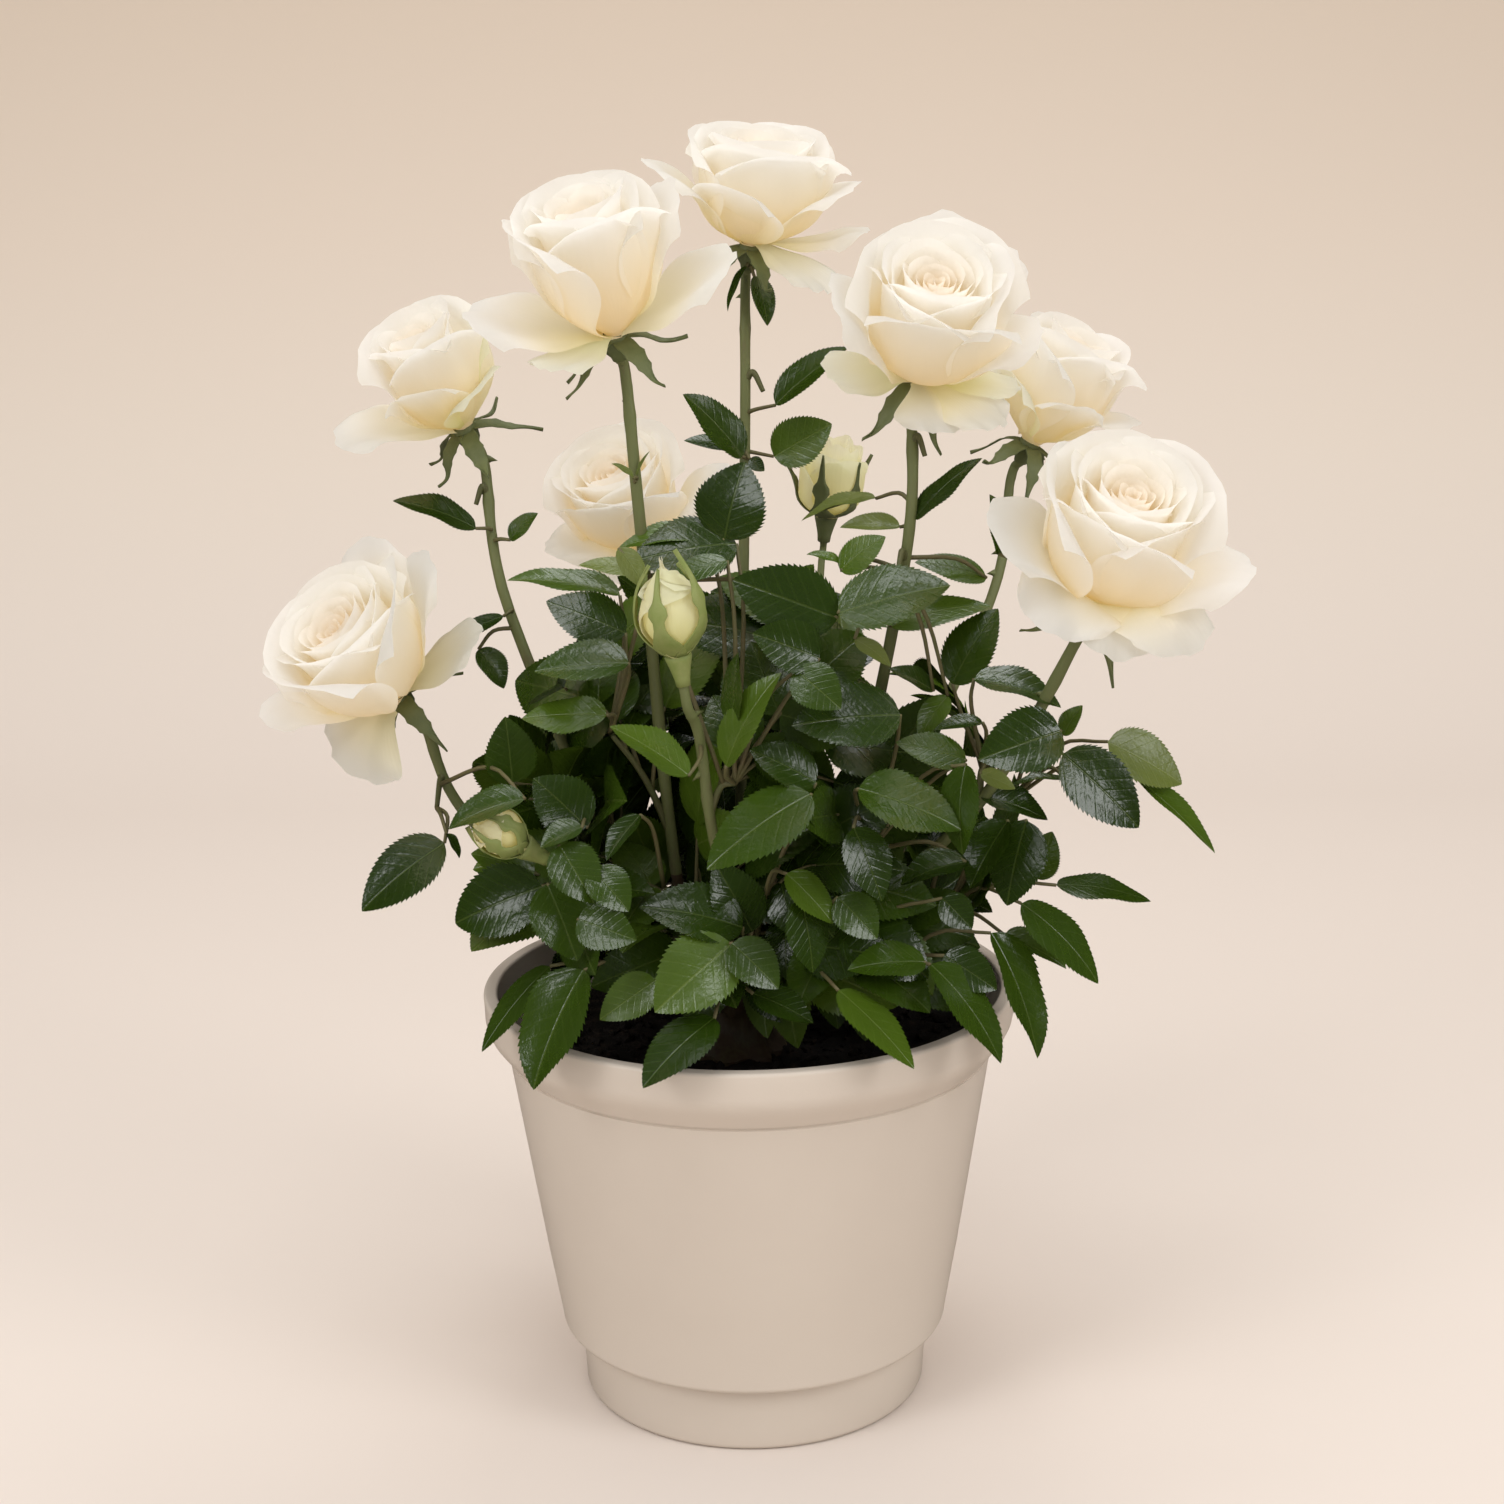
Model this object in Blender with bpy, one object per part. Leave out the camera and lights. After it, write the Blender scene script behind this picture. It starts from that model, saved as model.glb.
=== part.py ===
"""A white rose bush in a round plastic patio pot.

Metres, +Z up. The origin is the middle of the pot's flat underside, and the
front of the bush looks along -Y. A burl stands on the compost, canes rise from
it to the blooms and buds, and leafy shoots grow from the canes.
"""

import math
import random

import bmesh
import bpy
from mathutils import Matrix, Vector
from mathutils.bvhtree import BVHTree

GAP = 0.0003  # what neighbouring solids keep between them
UP = Vector((0, 0, 1))
FRONT = Vector((0, -1, 0))

# The pot, by radius and height.
RIM_RADIUS = 0.125
RIM_HEIGHT = 0.200
LIP_WIDTH = 0.0066
LIP_DEPTH = 0.012
GROOVE_HEIGHT = 0.1706
GROOVE_RADIUS = 0.1142
GROOVE_SIZE = 0.0010
STEP_HEIGHT = 0.0335
STEP_RADIUS = 0.0928
FOOT_TOP_RADIUS = 0.0838
FOOT_RADIUS = 0.0822
EDGE_ROUND = 0.0024
WALL = 0.0028
POT_STEPS = 30
COMPOST_HEIGHT = 0.172
COMPOST_CROWN = 0.004

# The burl that the canes rise from.
BURL_FOOT = Vector((-0.006, -0.020, COMPOST_HEIGHT + COMPOST_CROWN + GAP))
BURL_RADIUS = 0.017
BURL_RISE = 0.026
BURL_LEAN = 0.004
FLARE_RADIUS = 0.024
NECK_RADIUS = 0.013

# Canes: where each starts, the places it passes, and its radii at foot and tip.
# A start of "burl" carries the bearing (from +X, anticlockwise) and the pitch.
CANES = {
    "cane_left": ("burl", (170, 35), [(-0.068, 0.000, 0.279), (-0.110, 0.020, 0.380)],
                  "bloom_left", 0.0046, 0.0031),
    "cane_left_high": ("burl", (225, 54), [(-0.031, -0.030, 0.254), (-0.043, -0.060, 0.423)],
                       "bloom_left_high", 0.0047, 0.0031),
    "cane_top": ("burl", (85, 80), [(-0.003, 0.010, 0.261), (0.002, 0.035, 0.446)],
                 "bloom_top", 0.0046, 0.0030),
    "cane_right_high": ("burl", (20, 60), [(0.043, -0.020, 0.268), (0.071, -0.045, 0.406)],
                        "bloom_right_high", 0.0047, 0.0031),
    "cane_right_front": ("burl", (-30, 28), [(0.060, -0.035, 0.249), (0.107, -0.060, 0.306)],
                         "bloom_right_front", 0.0046, 0.0032),
    "cane_right_back": ("burl", (45, 25), [(0.064, 0.030, 0.264), (0.120, 0.070, 0.368)],
                        "bloom_right_back", 0.0045, 0.0030),
    "cane_back": ("burl", (110, 28), [(-0.027, 0.040, 0.278), (-0.041, 0.080, 0.344)],
                  "bloom_back", 0.0044, 0.0030),
    "cane_far_left": ("burl", (192, 8), [(-0.087, -0.015, 0.245), (-0.130, -0.022, 0.292)],
                      "bloom_far_left", 0.0044, 0.0030),
    "cane_bud_front": ("burl", (-75, 50), [(-0.013, -0.075, 0.285), (-0.019, -0.090, 0.338)],
                       "bud_front", 0.0040, 0.0029),
    "cane_bud_back": ("cane_top", 0.36, [(0.032, 0.055, 0.347)],
                      "bud_back", 0.0030, 0.0022),
    "cane_bud_low": ("cane_far_left", 0.42, [(-0.078, -0.056, 0.270)],
                     "bud_low", 0.0026, 0.0020),
}
CANE_SIDES = 5
CANE_PIECES = 2  # straight pieces from one passed place to the next
CANE_SETTING_OFF = 0.22  # share of the first reach that keeps the starting direction
CANE_NECK = 0.012  # the straight length under a flower's hip

# Flowers: the calyx, the way the flower faces, the radius and height of the cup,
# and the guard petals round it as (bearing, angle from the axis at the tip,
# length against the cup's height). Bearing 0 is the flower's front and 90 its right.
FLOWERS = {
    "bloom_far_left": ((-0.153, -0.030, 0.343), (-0.46, -0.48, 0.75), 0.037, 0.052,
                       [(14, 126, 0.86), (-66, 95, 0.78), (80, 86, 0.78), (150, 40, 1.02),
                        (-150, 46, 0.92)]),
    "bloom_left": ((-0.125, 0.030, 0.457), (-0.38, -0.36, 0.85), 0.027, 0.051,
                   [(-62, 92, 0.74), (20, 70, 0.66), (85, 58, 0.72), (165, 44, 0.82)]),
    "bloom_left_high": ((-0.052, -0.070, 0.508), (-0.10, -0.38, 0.92), 0.032, 0.064,
                        [(-88, 84, 0.70), (84, 76, 0.72), (-8, 108, 0.42), (150, 34, 0.92),
                         (-150, 40, 0.84)]),
    "bloom_top": ((0.005, 0.040, 0.538), (0.08, -0.20, 0.98), 0.034, 0.050,
                  [(-80, 66, 0.80), (42, 126, 0.86), (92, 90, 0.84), (170, 54, 0.86),
                   (-30, 56, 0.78)]),
    "bloom_right_high": ((0.076, -0.050, 0.483), (0.10, -0.62, 0.78), 0.033, 0.056,
                         [(-82, 60, 0.82), (78, 76, 0.80), (28, 116, 0.70), (-35, 112, 0.72),
                          (175, 40, 0.94)]),
    "bloom_right_back": ((0.141, 0.090, 0.437), (0.42, -0.20, 0.88), 0.031, 0.053,
                         [(80, 66, 0.80), (10, 70, 0.72), (-80, 54, 0.74), (170, 48, 0.84)]),
    "bloom_right_front": ((0.145, -0.090, 0.391), (0.18, -0.56, 0.81), 0.037, 0.057,
                          [(-76, 80, 0.86), (78, 88, 0.86), (8, 110, 0.76), (44, 114, 0.78),
                           (-34, 108, 0.74), (172, 54, 0.84)]),
    "bloom_back": ((-0.051, 0.110, 0.392), (-0.28, -0.48, 0.83), 0.035, 0.048,
                   [(62, 102, 0.92), (-70, 80, 0.78), (0, 88, 0.70), (120, 68, 0.90),
                    (-150, 54, 0.84)]),
    "bud_back": ((0.044, 0.080, 0.414), (0.10, -0.20, 0.97), 0.018, 0.036, []),
    "bud_front": ((-0.027, -0.100, 0.376), (-0.15, -0.08, 0.98), 0.013, 0.040, []),
    "bud_low": ((-0.090, -0.080, 0.282), (-0.80, -0.52, 0.30), 0.011, 0.024, []),
}
HIP_LENGTH = 0.011
HIP_RADIUS = 0.0052
HIP_NECK = 0.0032
SEPALS = 5
SEPAL_LENGTH = 0.024
SEPAL_WIDTH = 0.0075
SEPAL_LIFT = math.radians(62)
PETAL_THICKNESS = 0.0016
PETAL_ROOT = 0.5  # radius of a guard petal's root against the cup's
PETAL_RISE = 0.06  # height of that root against the cup's
PETAL_LEAN = 30  # degrees from the axis at the root
GUARD_HALF_WIDTH = 44  # degrees to either side of a guard petal's bearing
BLOOM_SIDES = 16
BUD_SIDES = 8

# Rings of the flowers, as shares of the cup's radius and of its height.
CUP_WAIST = (0.86, 0.44)
CUP_SHOULDER = (0.96, 0.68)
CUP_HEART = [(0.60, 0.24), (0.84, 0.60), (0.78, 0.92), (0.40, 0.93), (0.12, 1.00)]
BUD_RINGS = [(0.78, 0.16), (1.00, 0.44), (0.72, 0.78), (0.24, 1.00)]

# Leafy masses: the cane and how far up it the stem leaves, where its last leaf
# hangs, how far its leaves may stray from the stem, and how many leaves it has.
MASSES = {
    "leaves_far_left": ("cane_far_left", 0.66, (-0.148, -0.040, 0.266), 0.100, 3),
    "leaves_left_shoulder": ("cane_left", 0.34, (-0.106, -0.012, 0.318), 0.100, 5),
    "leaves_left_low": ("cane_far_left", 0.34, (-0.108, -0.068, 0.252), 0.100, 5),
    "leaves_left_front": ("burl", (222, 30), (-0.082, -0.112, 0.222), 0.110, 5),
    "leaves_left_middle": ("cane_left_high", 0.22, (-0.062, -0.092, 0.308), 0.100, 5),
    "leaves_front_low": ("burl", (262, 26), (-0.030, -0.118, 0.234), 0.110, 5),
    "leaves_front": ("cane_bud_front", 0.20, (0.012, -0.118, 0.304), 0.100, 5),
    "leaves_front_right": ("burl", (300, 30), (0.056, -0.118, 0.230), 0.110, 5),
    "leaves_right_low": ("burl", (330, 8), (0.098, -0.100, 0.220), 0.110, 5),
    "leaves_right_hang": ("cane_right_front", 0.36, (0.150, -0.030, 0.242), 0.100, 5),
    "leaves_far_right": ("cane_right_back", 0.42, (0.180, -0.010, 0.294), 0.100, 5),
    "leaves_right_middle": ("cane_right_high", 0.32, (0.080, -0.098, 0.314), 0.100, 5),
    "leaves_right_shoulder": ("cane_right_front", 0.58, (0.110, -0.044, 0.350), 0.090, 5),
    "leaves_left_upper": ("cane_left_high", 0.44, (-0.084, -0.070, 0.384), 0.100, 5),
    "leaves_left_gap": ("cane_left", 0.46, (-0.064, -0.040, 0.352), 0.090, 4),
    "leaves_left_elbow": ("cane_far_left", 0.56, (-0.126, -0.058, 0.306), 0.090, 3),
    "leaves_middle": ("cane_bud_front", 0.46, (0.022, -0.098, 0.352), 0.090, 5),
    "leaves_middle_upper": ("cane_left_high", 0.56, (-0.002, -0.072, 0.420), 0.090, 3),
    "leaves_right_centre": ("cane_right_high", 0.50, (0.030, -0.062, 0.388), 0.090, 4),
    "leaves_right_upper": ("cane_right_high", 0.60, (0.058, -0.086, 0.396), 0.090, 5),
    "leaves_top_cane": ("cane_top", 0.66, (0.030, 0.026, 0.462), 0.080, 1),
    "leaves_right_cane": ("cane_right_high", 0.74, (0.092, -0.052, 0.440), 0.080, 1),
    "leaves_left_cane": ("cane_left", 0.74, (-0.136, 0.022, 0.414), 0.080, 1),
    "leaves_back_left": ("burl", (150, 20), (-0.096, 0.078, 0.244), 0.110, 5),
    "leaves_back": ("cane_back", 0.40, (-0.040, 0.116, 0.306), 0.100, 5),
    "leaves_back_right": ("cane_right_back", 0.16, (0.086, 0.100, 0.250), 0.110, 5),
    "leaves_back_low": ("burl", (95, 14), (-0.010, 0.116, 0.232), 0.110, 5),
    "leaves_back_upper": ("cane_top", 0.44, (-0.016, 0.080, 0.366), 0.090, 5),
}
STEM_RADIUS = 0.0017
STEM_TAPER = 0.0006
STEM_BOW = 0.006
LAST_STALK = 0.6  # length of the last leaf's stalk against the others
LAST_LEAF = 0.066  # from the stem's end to the middle of its last leaflet
LONGEST_LAST = 0.7  # the same at most, against the stem's whole way
STALK_RADIUS = 0.0010
STALK_LENGTH = 0.064
LEAFLET_LENGTH = 0.060
LEAFLET_SHAPE = 0.74  # width against length
LEAFLET_PAIRS = ((0.70, 0.92), (0.34, 0.80))  # how far up the stalk, and the size
LEAFLET_THICKNESS = 0.0013
LEAFLET_SUNK = 0.0024
LEAFLET_FOLD = 0.16
LEAFLET_DROOP = 0.20
LEAFLET_WIDEST = 0.46  # where it is widest, up its length
LEAF_SAG = (0.20, 0.45)  # how far a leaf's stalk sags, against its length
LEAF_LIGHT = (0.55, 0.85, 0.25)  # what leaves face: upwards, outwards and at random
LEAF_CLEAR = 0.012  # what leaves keep above the compost
LOWEST_LEAF = 0.165
LOWEST_NODE = 0.24  # how far up the stem the lowest leaf grows
HIGHEST_NODE = 0.86  # the same for the highest but the last one
ATTEMPTS = 10
GOLDEN_TURN = math.radians(137.5)

COLOURS = {
    "pot": ((0.56, 0.46, 0.36), 0.42),
    "compost": ((0.012, 0.009, 0.007), 0.95),
    "burl": ((0.10, 0.075, 0.035), 0.80),
    "cane": ((0.13, 0.17, 0.05), 0.55),
    "petal": ((0.86, 0.80, 0.66), 0.60),
    "bud": ((0.50, 0.55, 0.28), 0.60),
    "leaf": ((0.022, 0.065, 0.018), 0.32),
}


def clear_scene():
    for item in list(bpy.data.objects):
        bpy.data.objects.remove(item, do_unlink=True)


def finish(name):
    """The Principled material of a plain finish, made once."""
    found = bpy.data.materials.get(name)
    if found:
        return found
    colour, roughness = COLOURS[name]
    made = bpy.data.materials.new(name)
    made.use_nodes = True
    shader = made.node_tree.nodes["Principled BSDF"]
    shader.inputs["Base Color"].default_value = (*colour, 1)
    shader.inputs["Roughness"].default_value = roughness
    return made


def add_object(name, mesh, material):
    mesh.name = name
    item = bpy.data.objects.new(name, mesh)
    item.data.materials.append(finish(material))
    bpy.context.scene.collection.objects.link(item)
    return item


def mesh_of(points, faces):
    mesh = bpy.data.meshes.new("shape")
    mesh.from_pydata([tuple(p) for p in points], [], faces)
    return mesh


def arc(centre, radius, start, end, pieces):
    """Points on an arc in a profile's plane, by angles in degrees."""
    found = []
    for i in range(pieces + 1):
        angle = math.radians(start + (end - start) * i / pieces)
        found.append((centre[0] + radius * math.cos(angle), centre[1] + radius * math.sin(angle)))
    return found


def turned(name, profile, steps, material):
    """A profile of (radius, height) from axis to axis, spun into a closed body."""
    shape = bmesh.new()
    chain = [shape.verts.new((r, 0, z)) for r, z in profile]
    edges = [shape.edges.new(pair) for pair in zip(chain, chain[1:])]
    bmesh.ops.spin(
        shape, geom=chain + edges, cent=(0, 0, 0), axis=(0, 0, 1), angle=2 * math.pi, steps=steps
    )
    bmesh.ops.remove_doubles(shape, verts=shape.verts, dist=1e-6)
    bmesh.ops.recalc_face_normals(shape, faces=shape.faces)
    mesh = bpy.data.meshes.new(name)
    shape.to_mesh(mesh)
    shape.free()
    mesh.shade_smooth()
    mesh.set_sharp_from_angle(angle=math.radians(35))
    return add_object(name, mesh, material)


def ring_faces(rings, sides):
    """Faces of a closed body made of rings of points, from its foot to its top."""
    faces = [tuple(reversed(range(sides)))]
    for i in range(rings - 1):
        for k in range(sides):
            a, b = i * sides + k, i * sides + (k + 1) % sides
            faces.append((a, b, b + sides, a + sides))
    faces.append(tuple(range((rings - 1) * sides, rings * sides)))
    return faces


def ring_frames(path):
    """The tangent and a side at each point of a path, carried along without twist."""
    frames = []
    side = None
    for i in range(len(path)):
        tangent = (path[min(i + 1, len(path) - 1)] - path[max(i - 1, 0)]).normalized()
        if side is None:
            side = tangent.orthogonal().normalized()
        else:
            side = (side - tangent * side.dot(tangent)).normalized()
        frames.append((tangent, side))
    return frames


def tube_data(path, radii, sides):
    """Points and faces of a closed tapering tube along a path."""
    points = []
    for place, radius, (tangent, side) in zip(path, radii, ring_frames(path)):
        other = tangent.cross(side)
        for k in range(sides):
            angle = 2 * math.pi * k / sides
            points.append(place + (side * math.cos(angle) + other * math.sin(angle)) * radius)
    return points, ring_faces(len(path), sides)


def smooth_path(places, pieces):
    """A Catmull-Rom curve through some places, as evenly divided pieces."""
    ends = [places[0] * 2 - places[1], *places, places[-1] * 2 - places[-2]]
    path = []
    for i in range(1, len(ends) - 2):
        p0, p1, p2, p3 = ends[i - 1 : i + 3]
        for k in range(pieces):
            t = k / pieces
            path.append(
                0.5 * (2 * p1 + (p2 - p0) * t + (2 * p0 - 5 * p1 + 4 * p2 - p3) * t**2
                       + (3 * p1 - p0 - 3 * p2 + p3) * t**3)
            )
    path.append(places[-1].copy())
    return path


def direction(bearing, pitch):
    bearing, pitch = math.radians(bearing), math.radians(pitch)
    level = Vector((math.cos(bearing), math.sin(bearing), 0)) * math.cos(pitch)
    return level + UP * math.sin(pitch)


def burl_centre():
    return BURL_FOOT + Vector((BURL_LEAN, 0, BURL_RISE))


def place_on(limb, share):
    """The point, tangent and radius a share of the way up a limb's path."""
    path, radii = limb
    at = share * (len(path) - 1)
    i = min(int(at), len(path) - 2)
    place = path[i].lerp(path[i + 1], at - i)
    radius = radii[i] + (radii[i + 1] - radii[i]) * (at - i)
    return place, (path[i + 1] - path[i]).normalized(), radius


def start_of(limbs, parent, where, towards, radius):
    """Where a shoot starts, clear of its parent by the gap, and its first direction."""
    if parent == "burl":
        heading = direction(*where)
        return burl_centre() + heading * (BURL_RADIUS + 2 * GAP), heading
    place, tangent, thickness = place_on(limbs[parent], where)
    heading = (towards - place).normalized()
    slope = abs(heading.dot(tangent))
    lean = math.sqrt(max(1 - slope * slope, 0.05))
    reach = (thickness + 2 * GAP + radius * slope) / lean
    return place + heading * reach, heading


# ---- pot, compost and burl -------------------------------------------------


def inner_wall():
    """The pot's inside as (radius, height), from the groove down to the floor."""
    return [
        (GROOVE_RADIUS - WALL, GROOVE_HEIGHT),
        (STEP_RADIUS - WALL, STEP_HEIGHT + 1.4 * WALL),
        (FOOT_TOP_RADIUS - 1.6 * WALL, STEP_HEIGHT + 0.4 * WALL),
        (FOOT_RADIUS - 1.4 * WALL, WALL),
    ]


def pot_profile():
    """The outline of the pot's wall: outside up from the underside, inside down."""
    taper = (GROOVE_RADIUS - STEP_RADIUS) / (GROOVE_HEIGHT - STEP_HEIGHT)
    outside = [(0, 0), (FOOT_RADIUS - EDGE_ROUND, 0)]
    outside += arc((FOOT_RADIUS - EDGE_ROUND, EDGE_ROUND), EDGE_ROUND, -45, 0, 1)
    outside += [(FOOT_TOP_RADIUS, STEP_HEIGHT - 0.0016), (FOOT_TOP_RADIUS - 0.0016, STEP_HEIGHT - 0.0008)]
    outside += [(FOOT_TOP_RADIUS - 0.0016, STEP_HEIGHT)]
    outside += arc((STEP_RADIUS - EDGE_ROUND, STEP_HEIGHT + EDGE_ROUND), EDGE_ROUND, -80, 8, 2)
    groove = GROOVE_HEIGHT - GROOVE_SIZE
    outside += [
        (STEP_RADIUS + (groove - STEP_HEIGHT) * taper, groove),
        (GROOVE_RADIUS - GROOVE_SIZE, GROOVE_HEIGHT),
        (GROOVE_RADIUS + GROOVE_SIZE, GROOVE_HEIGHT + GROOVE_SIZE),
    ]
    flare = RIM_RADIUS - GROOVE_RADIUS - GROOVE_SIZE
    rise = RIM_HEIGHT - LIP_DEPTH - GROOVE_HEIGHT - GROOVE_SIZE
    for share in (0.45, 1.0):
        outside.append((GROOVE_RADIUS + GROOVE_SIZE + flare * math.sin(share * math.pi / 2) * 0.96,
                        GROOVE_HEIGHT + GROOVE_SIZE + rise * share))
    outside += arc((RIM_RADIUS - 0.0012, RIM_HEIGHT - 0.0012), 0.0012, 0, 90, 2)
    lip = RIM_RADIUS - LIP_WIDTH
    inside = arc((lip + 0.0008, RIM_HEIGHT - 0.0008), 0.0008, 90, 180, 1)
    return outside + inside + inner_wall() + [(0, WALL)]


def compost_profile():
    """Compost that fills the pot to a low mound, the gap clear of its wall."""
    inside = [(r - 3 * GAP, z + 2 * GAP) for r, z in inner_wall()]
    edge = (inside[0][0], COMPOST_HEIGHT - 3 * GAP)
    mound = [(0.045, COMPOST_HEIGHT + COMPOST_CROWN), (0, COMPOST_HEIGHT + COMPOST_CROWN)]
    return [(0, inside[-1][1]), *reversed(inside[1:]), edge, *mound]


def make_burl():
    """A short stem: flared foot, neck and the round burl where the canes leave."""
    rings = [(0, FLARE_RADIUS), (0.004, 0.018), (0.009, NECK_RADIUS)]
    for angle in (-40, -10, 20, 50, 74):
        rings.append((BURL_RISE + BURL_RADIUS * math.sin(math.radians(angle)),
                      BURL_RADIUS * math.cos(math.radians(angle))))
    path = [BURL_FOOT + Vector((BURL_LEAN * min(h / BURL_RISE, 1), 0, h)) for h, _ in rings]
    points = []
    sides = 10
    for place, (height, radius) in zip(path, rings):
        for k in range(sides):
            angle = 2 * math.pi * k / sides
            lobe = 1 + 0.16 * math.cos(3 * angle) * (radius > BURL_RADIUS) * (height == 0)
            points.append(place + Vector((math.cos(angle), math.sin(angle), 0)) * radius * lobe)
    mesh = mesh_of(points, ring_faces(len(rings), sides))
    mesh.shade_smooth()
    return add_object("burl", mesh, "burl")


# ---- canes -----------------------------------------------------------------


def hip_foot(flower):
    """The lowest point of a flower's hip, where its cane ends."""
    calyx, facing = Vector(FLOWERS[flower][0]), Vector(FLOWERS[flower][1]).normalized()
    return calyx - facing * HIP_LENGTH, facing


def make_canes():
    """Every cane as one tapering limb; the paths and radii are kept for the shoots."""
    limbs = {}
    for name, (parent, where, vias, flower, foot, tip) in CANES.items():
        passed = [Vector(v) for v in vias]
        start, heading = start_of(limbs, parent, where, passed[0], foot)
        end, facing = hip_foot(flower)
        end = end - facing * 2 * GAP
        reach = (passed[0] - start).length
        leaving = start + heading * reach * CANE_SETTING_OFF
        places = [start, leaving, *passed, end - facing * CANE_NECK, end]
        path = smooth_path(places, CANE_PIECES)
        path[-2] = end - facing * 0.002
        radii = [foot + (tip - foot) * (i / (len(path) - 1)) ** 0.8 for i in range(len(path))]
        limbs[name] = (path, radii)
        mesh = mesh_of(*tube_data(path, radii, CANE_SIDES))
        mesh.shade_smooth()
        add_object(name, mesh, "cane")
    return limbs


# ---- flowers ---------------------------------------------------------------


def flower_frame(calyx, facing):
    """A matrix whose Z is the way the flower faces and whose -Y is its front."""
    axis = Vector(facing).normalized()
    front = (FRONT - axis * FRONT.dot(axis)).normalized()
    right = axis.cross(front)
    frame = Matrix((right, -front, axis)).transposed().to_4x4()
    frame.translation = Vector(calyx)
    return frame


def guard_at(bearing, guards):
    """How fully a guard petal stands at a bearing, from 0 to 1, with its spread and length."""
    found = (0, 0, 0)
    for middle, spread, length in guards:
        off = abs((bearing - middle + 180) % 360 - 180)
        share = max(0.0, math.cos(math.radians(min(90, off * 90 / GUARD_HALF_WIDTH)))) ** 0.7
        found = max(found, (share, spread, length))
    return found


def petal_path(radius, height, spread, length):
    """Radius and height of a guard petal's middle and tip, which lean out as they rise."""
    rho, rise = radius * PETAL_ROOT, height * PETAL_RISE
    places = []
    for share in (0.25, 0.75):
        angle = math.radians(PETAL_LEAN + (spread - PETAL_LEAN) * share)
        rho += height * length / 2 * math.sin(angle)
        rise += height * length / 2 * math.cos(angle)
        places.append((rho, rise))
    return places


def sized(shares, radius, height):
    return [(across * radius, up * height) for across, up in shares]


def between(start, end, share):
    return tuple(a + (b - a) * share for a, b in zip(start, end))


def hip_rings():
    return [(HIP_NECK, -HIP_LENGTH), (HIP_RADIUS, -0.45 * HIP_LENGTH), (0.8 * HIP_RADIUS, 0)]


def ringed_body(columns):
    """A closed body round the flower's axis, from (radius, height) columns set about it."""
    points = []
    for ring in zip(*columns):
        for k, (rho, rise) in enumerate(ring):
            turn = 2 * math.pi * k / len(columns)
            points.append(Vector((math.sin(turn) * rho, -math.cos(turn) * rho, rise)))
    return points, ring_faces(len(columns[0]), len(columns))


def bloom_data(radius, height, guards):
    """An open bloom in one body: hip, skirt of guard petals in lobes, and the full cup in it."""
    waist, shoulder = sized([CUP_WAIST, CUP_SHOULDER], radius, height)
    columns = []
    for k in range(BLOOM_SIDES):
        share, spread, length = guard_at(360 * k / BLOOM_SIDES, guards)
        middle, tip = petal_path(radius, height, spread, length)
        middle, tip = between(waist, middle, share), between(shoulder, tip, share)
        back = (middle[0] - PETAL_THICKNESS, middle[1] + PETAL_THICKNESS)
        root = (radius * PETAL_ROOT, PETAL_RISE * height)
        columns.append([*hip_rings(), root, middle, tip, back, *sized(CUP_HEART, radius, height)])
    return ringed_body(columns)


def bud_data(radius, height):
    """A closed bud: hip, full waist and a blunt tip, in one body."""
    return ringed_body([[*hip_rings(), *sized(BUD_RINGS, radius, height)]] * BUD_SIDES)


def sepal_data(bearing):
    """A narrow pointed sepal that leaves the top of the hip."""
    turn = math.radians(bearing)
    outward = Vector((math.sin(turn), -math.cos(turn), 0))
    sideways = Vector((math.cos(turn), math.sin(turn), 0))
    heading = (outward * math.cos(SEPAL_LIFT) + UP * math.sin(SEPAL_LIFT)).normalized()
    normal = sideways.cross(heading)
    root = outward * HIP_RADIUS * 0.2 - UP * 0.001
    middle = root + heading * SEPAL_LENGTH * 0.45
    thick = normal * 0.0007
    points = [root + thick, root - thick, middle + sideways * SEPAL_WIDTH / 2,
              middle - sideways * SEPAL_WIDTH / 2, middle + thick, middle - thick,
              root + heading * SEPAL_LENGTH - UP * SEPAL_LENGTH * 0.12]
    faces = [(0, 4, 2), (0, 3, 4), (1, 2, 5), (1, 5, 3), (0, 2, 1), (0, 1, 3),
             (6, 2, 4), (6, 4, 3), (6, 5, 2), (6, 3, 5)]
    return points, faces


def outward_mesh(points, faces, frame=Matrix.Identity(4)):
    """A mesh of a closed shape with its faces pointing out."""
    shape = bmesh.new()
    corners = [shape.verts.new(frame @ p) for p in points]
    for face in faces:
        shape.faces.new([corners[i] for i in face])
    bmesh.ops.recalc_face_normals(shape, faces=shape.faces)
    mesh = bpy.data.meshes.new("shape")
    shape.to_mesh(mesh)
    shape.free()
    return mesh


def fuse(name, meshes, material):
    """One body from closed meshes that overlap, by a Boolean union on a collection."""
    base = add_object(name, meshes[0], material)
    helpers = bpy.data.collections.new(name + "_pieces")
    bpy.context.scene.collection.children.link(helpers)
    for mesh in meshes[1:]:
        helpers.objects.link(bpy.data.objects.new("piece", mesh))
    union = base.modifiers.new("Union", "BOOLEAN")
    union.operation = "UNION"
    union.operand_type = "COLLECTION"
    union.collection = helpers
    union.solver = "MANIFOLD"
    bpy.context.view_layer.update()
    graph = bpy.context.evaluated_depsgraph_get()
    joined = bpy.data.meshes.new_from_object(base.evaluated_get(graph))
    base.modifiers.remove(union)
    base.data = joined
    for item in list(helpers.objects):
        bpy.data.objects.remove(item, do_unlink=True)
    bpy.data.collections.remove(helpers)
    drop_scraps(base)
    return base


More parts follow.
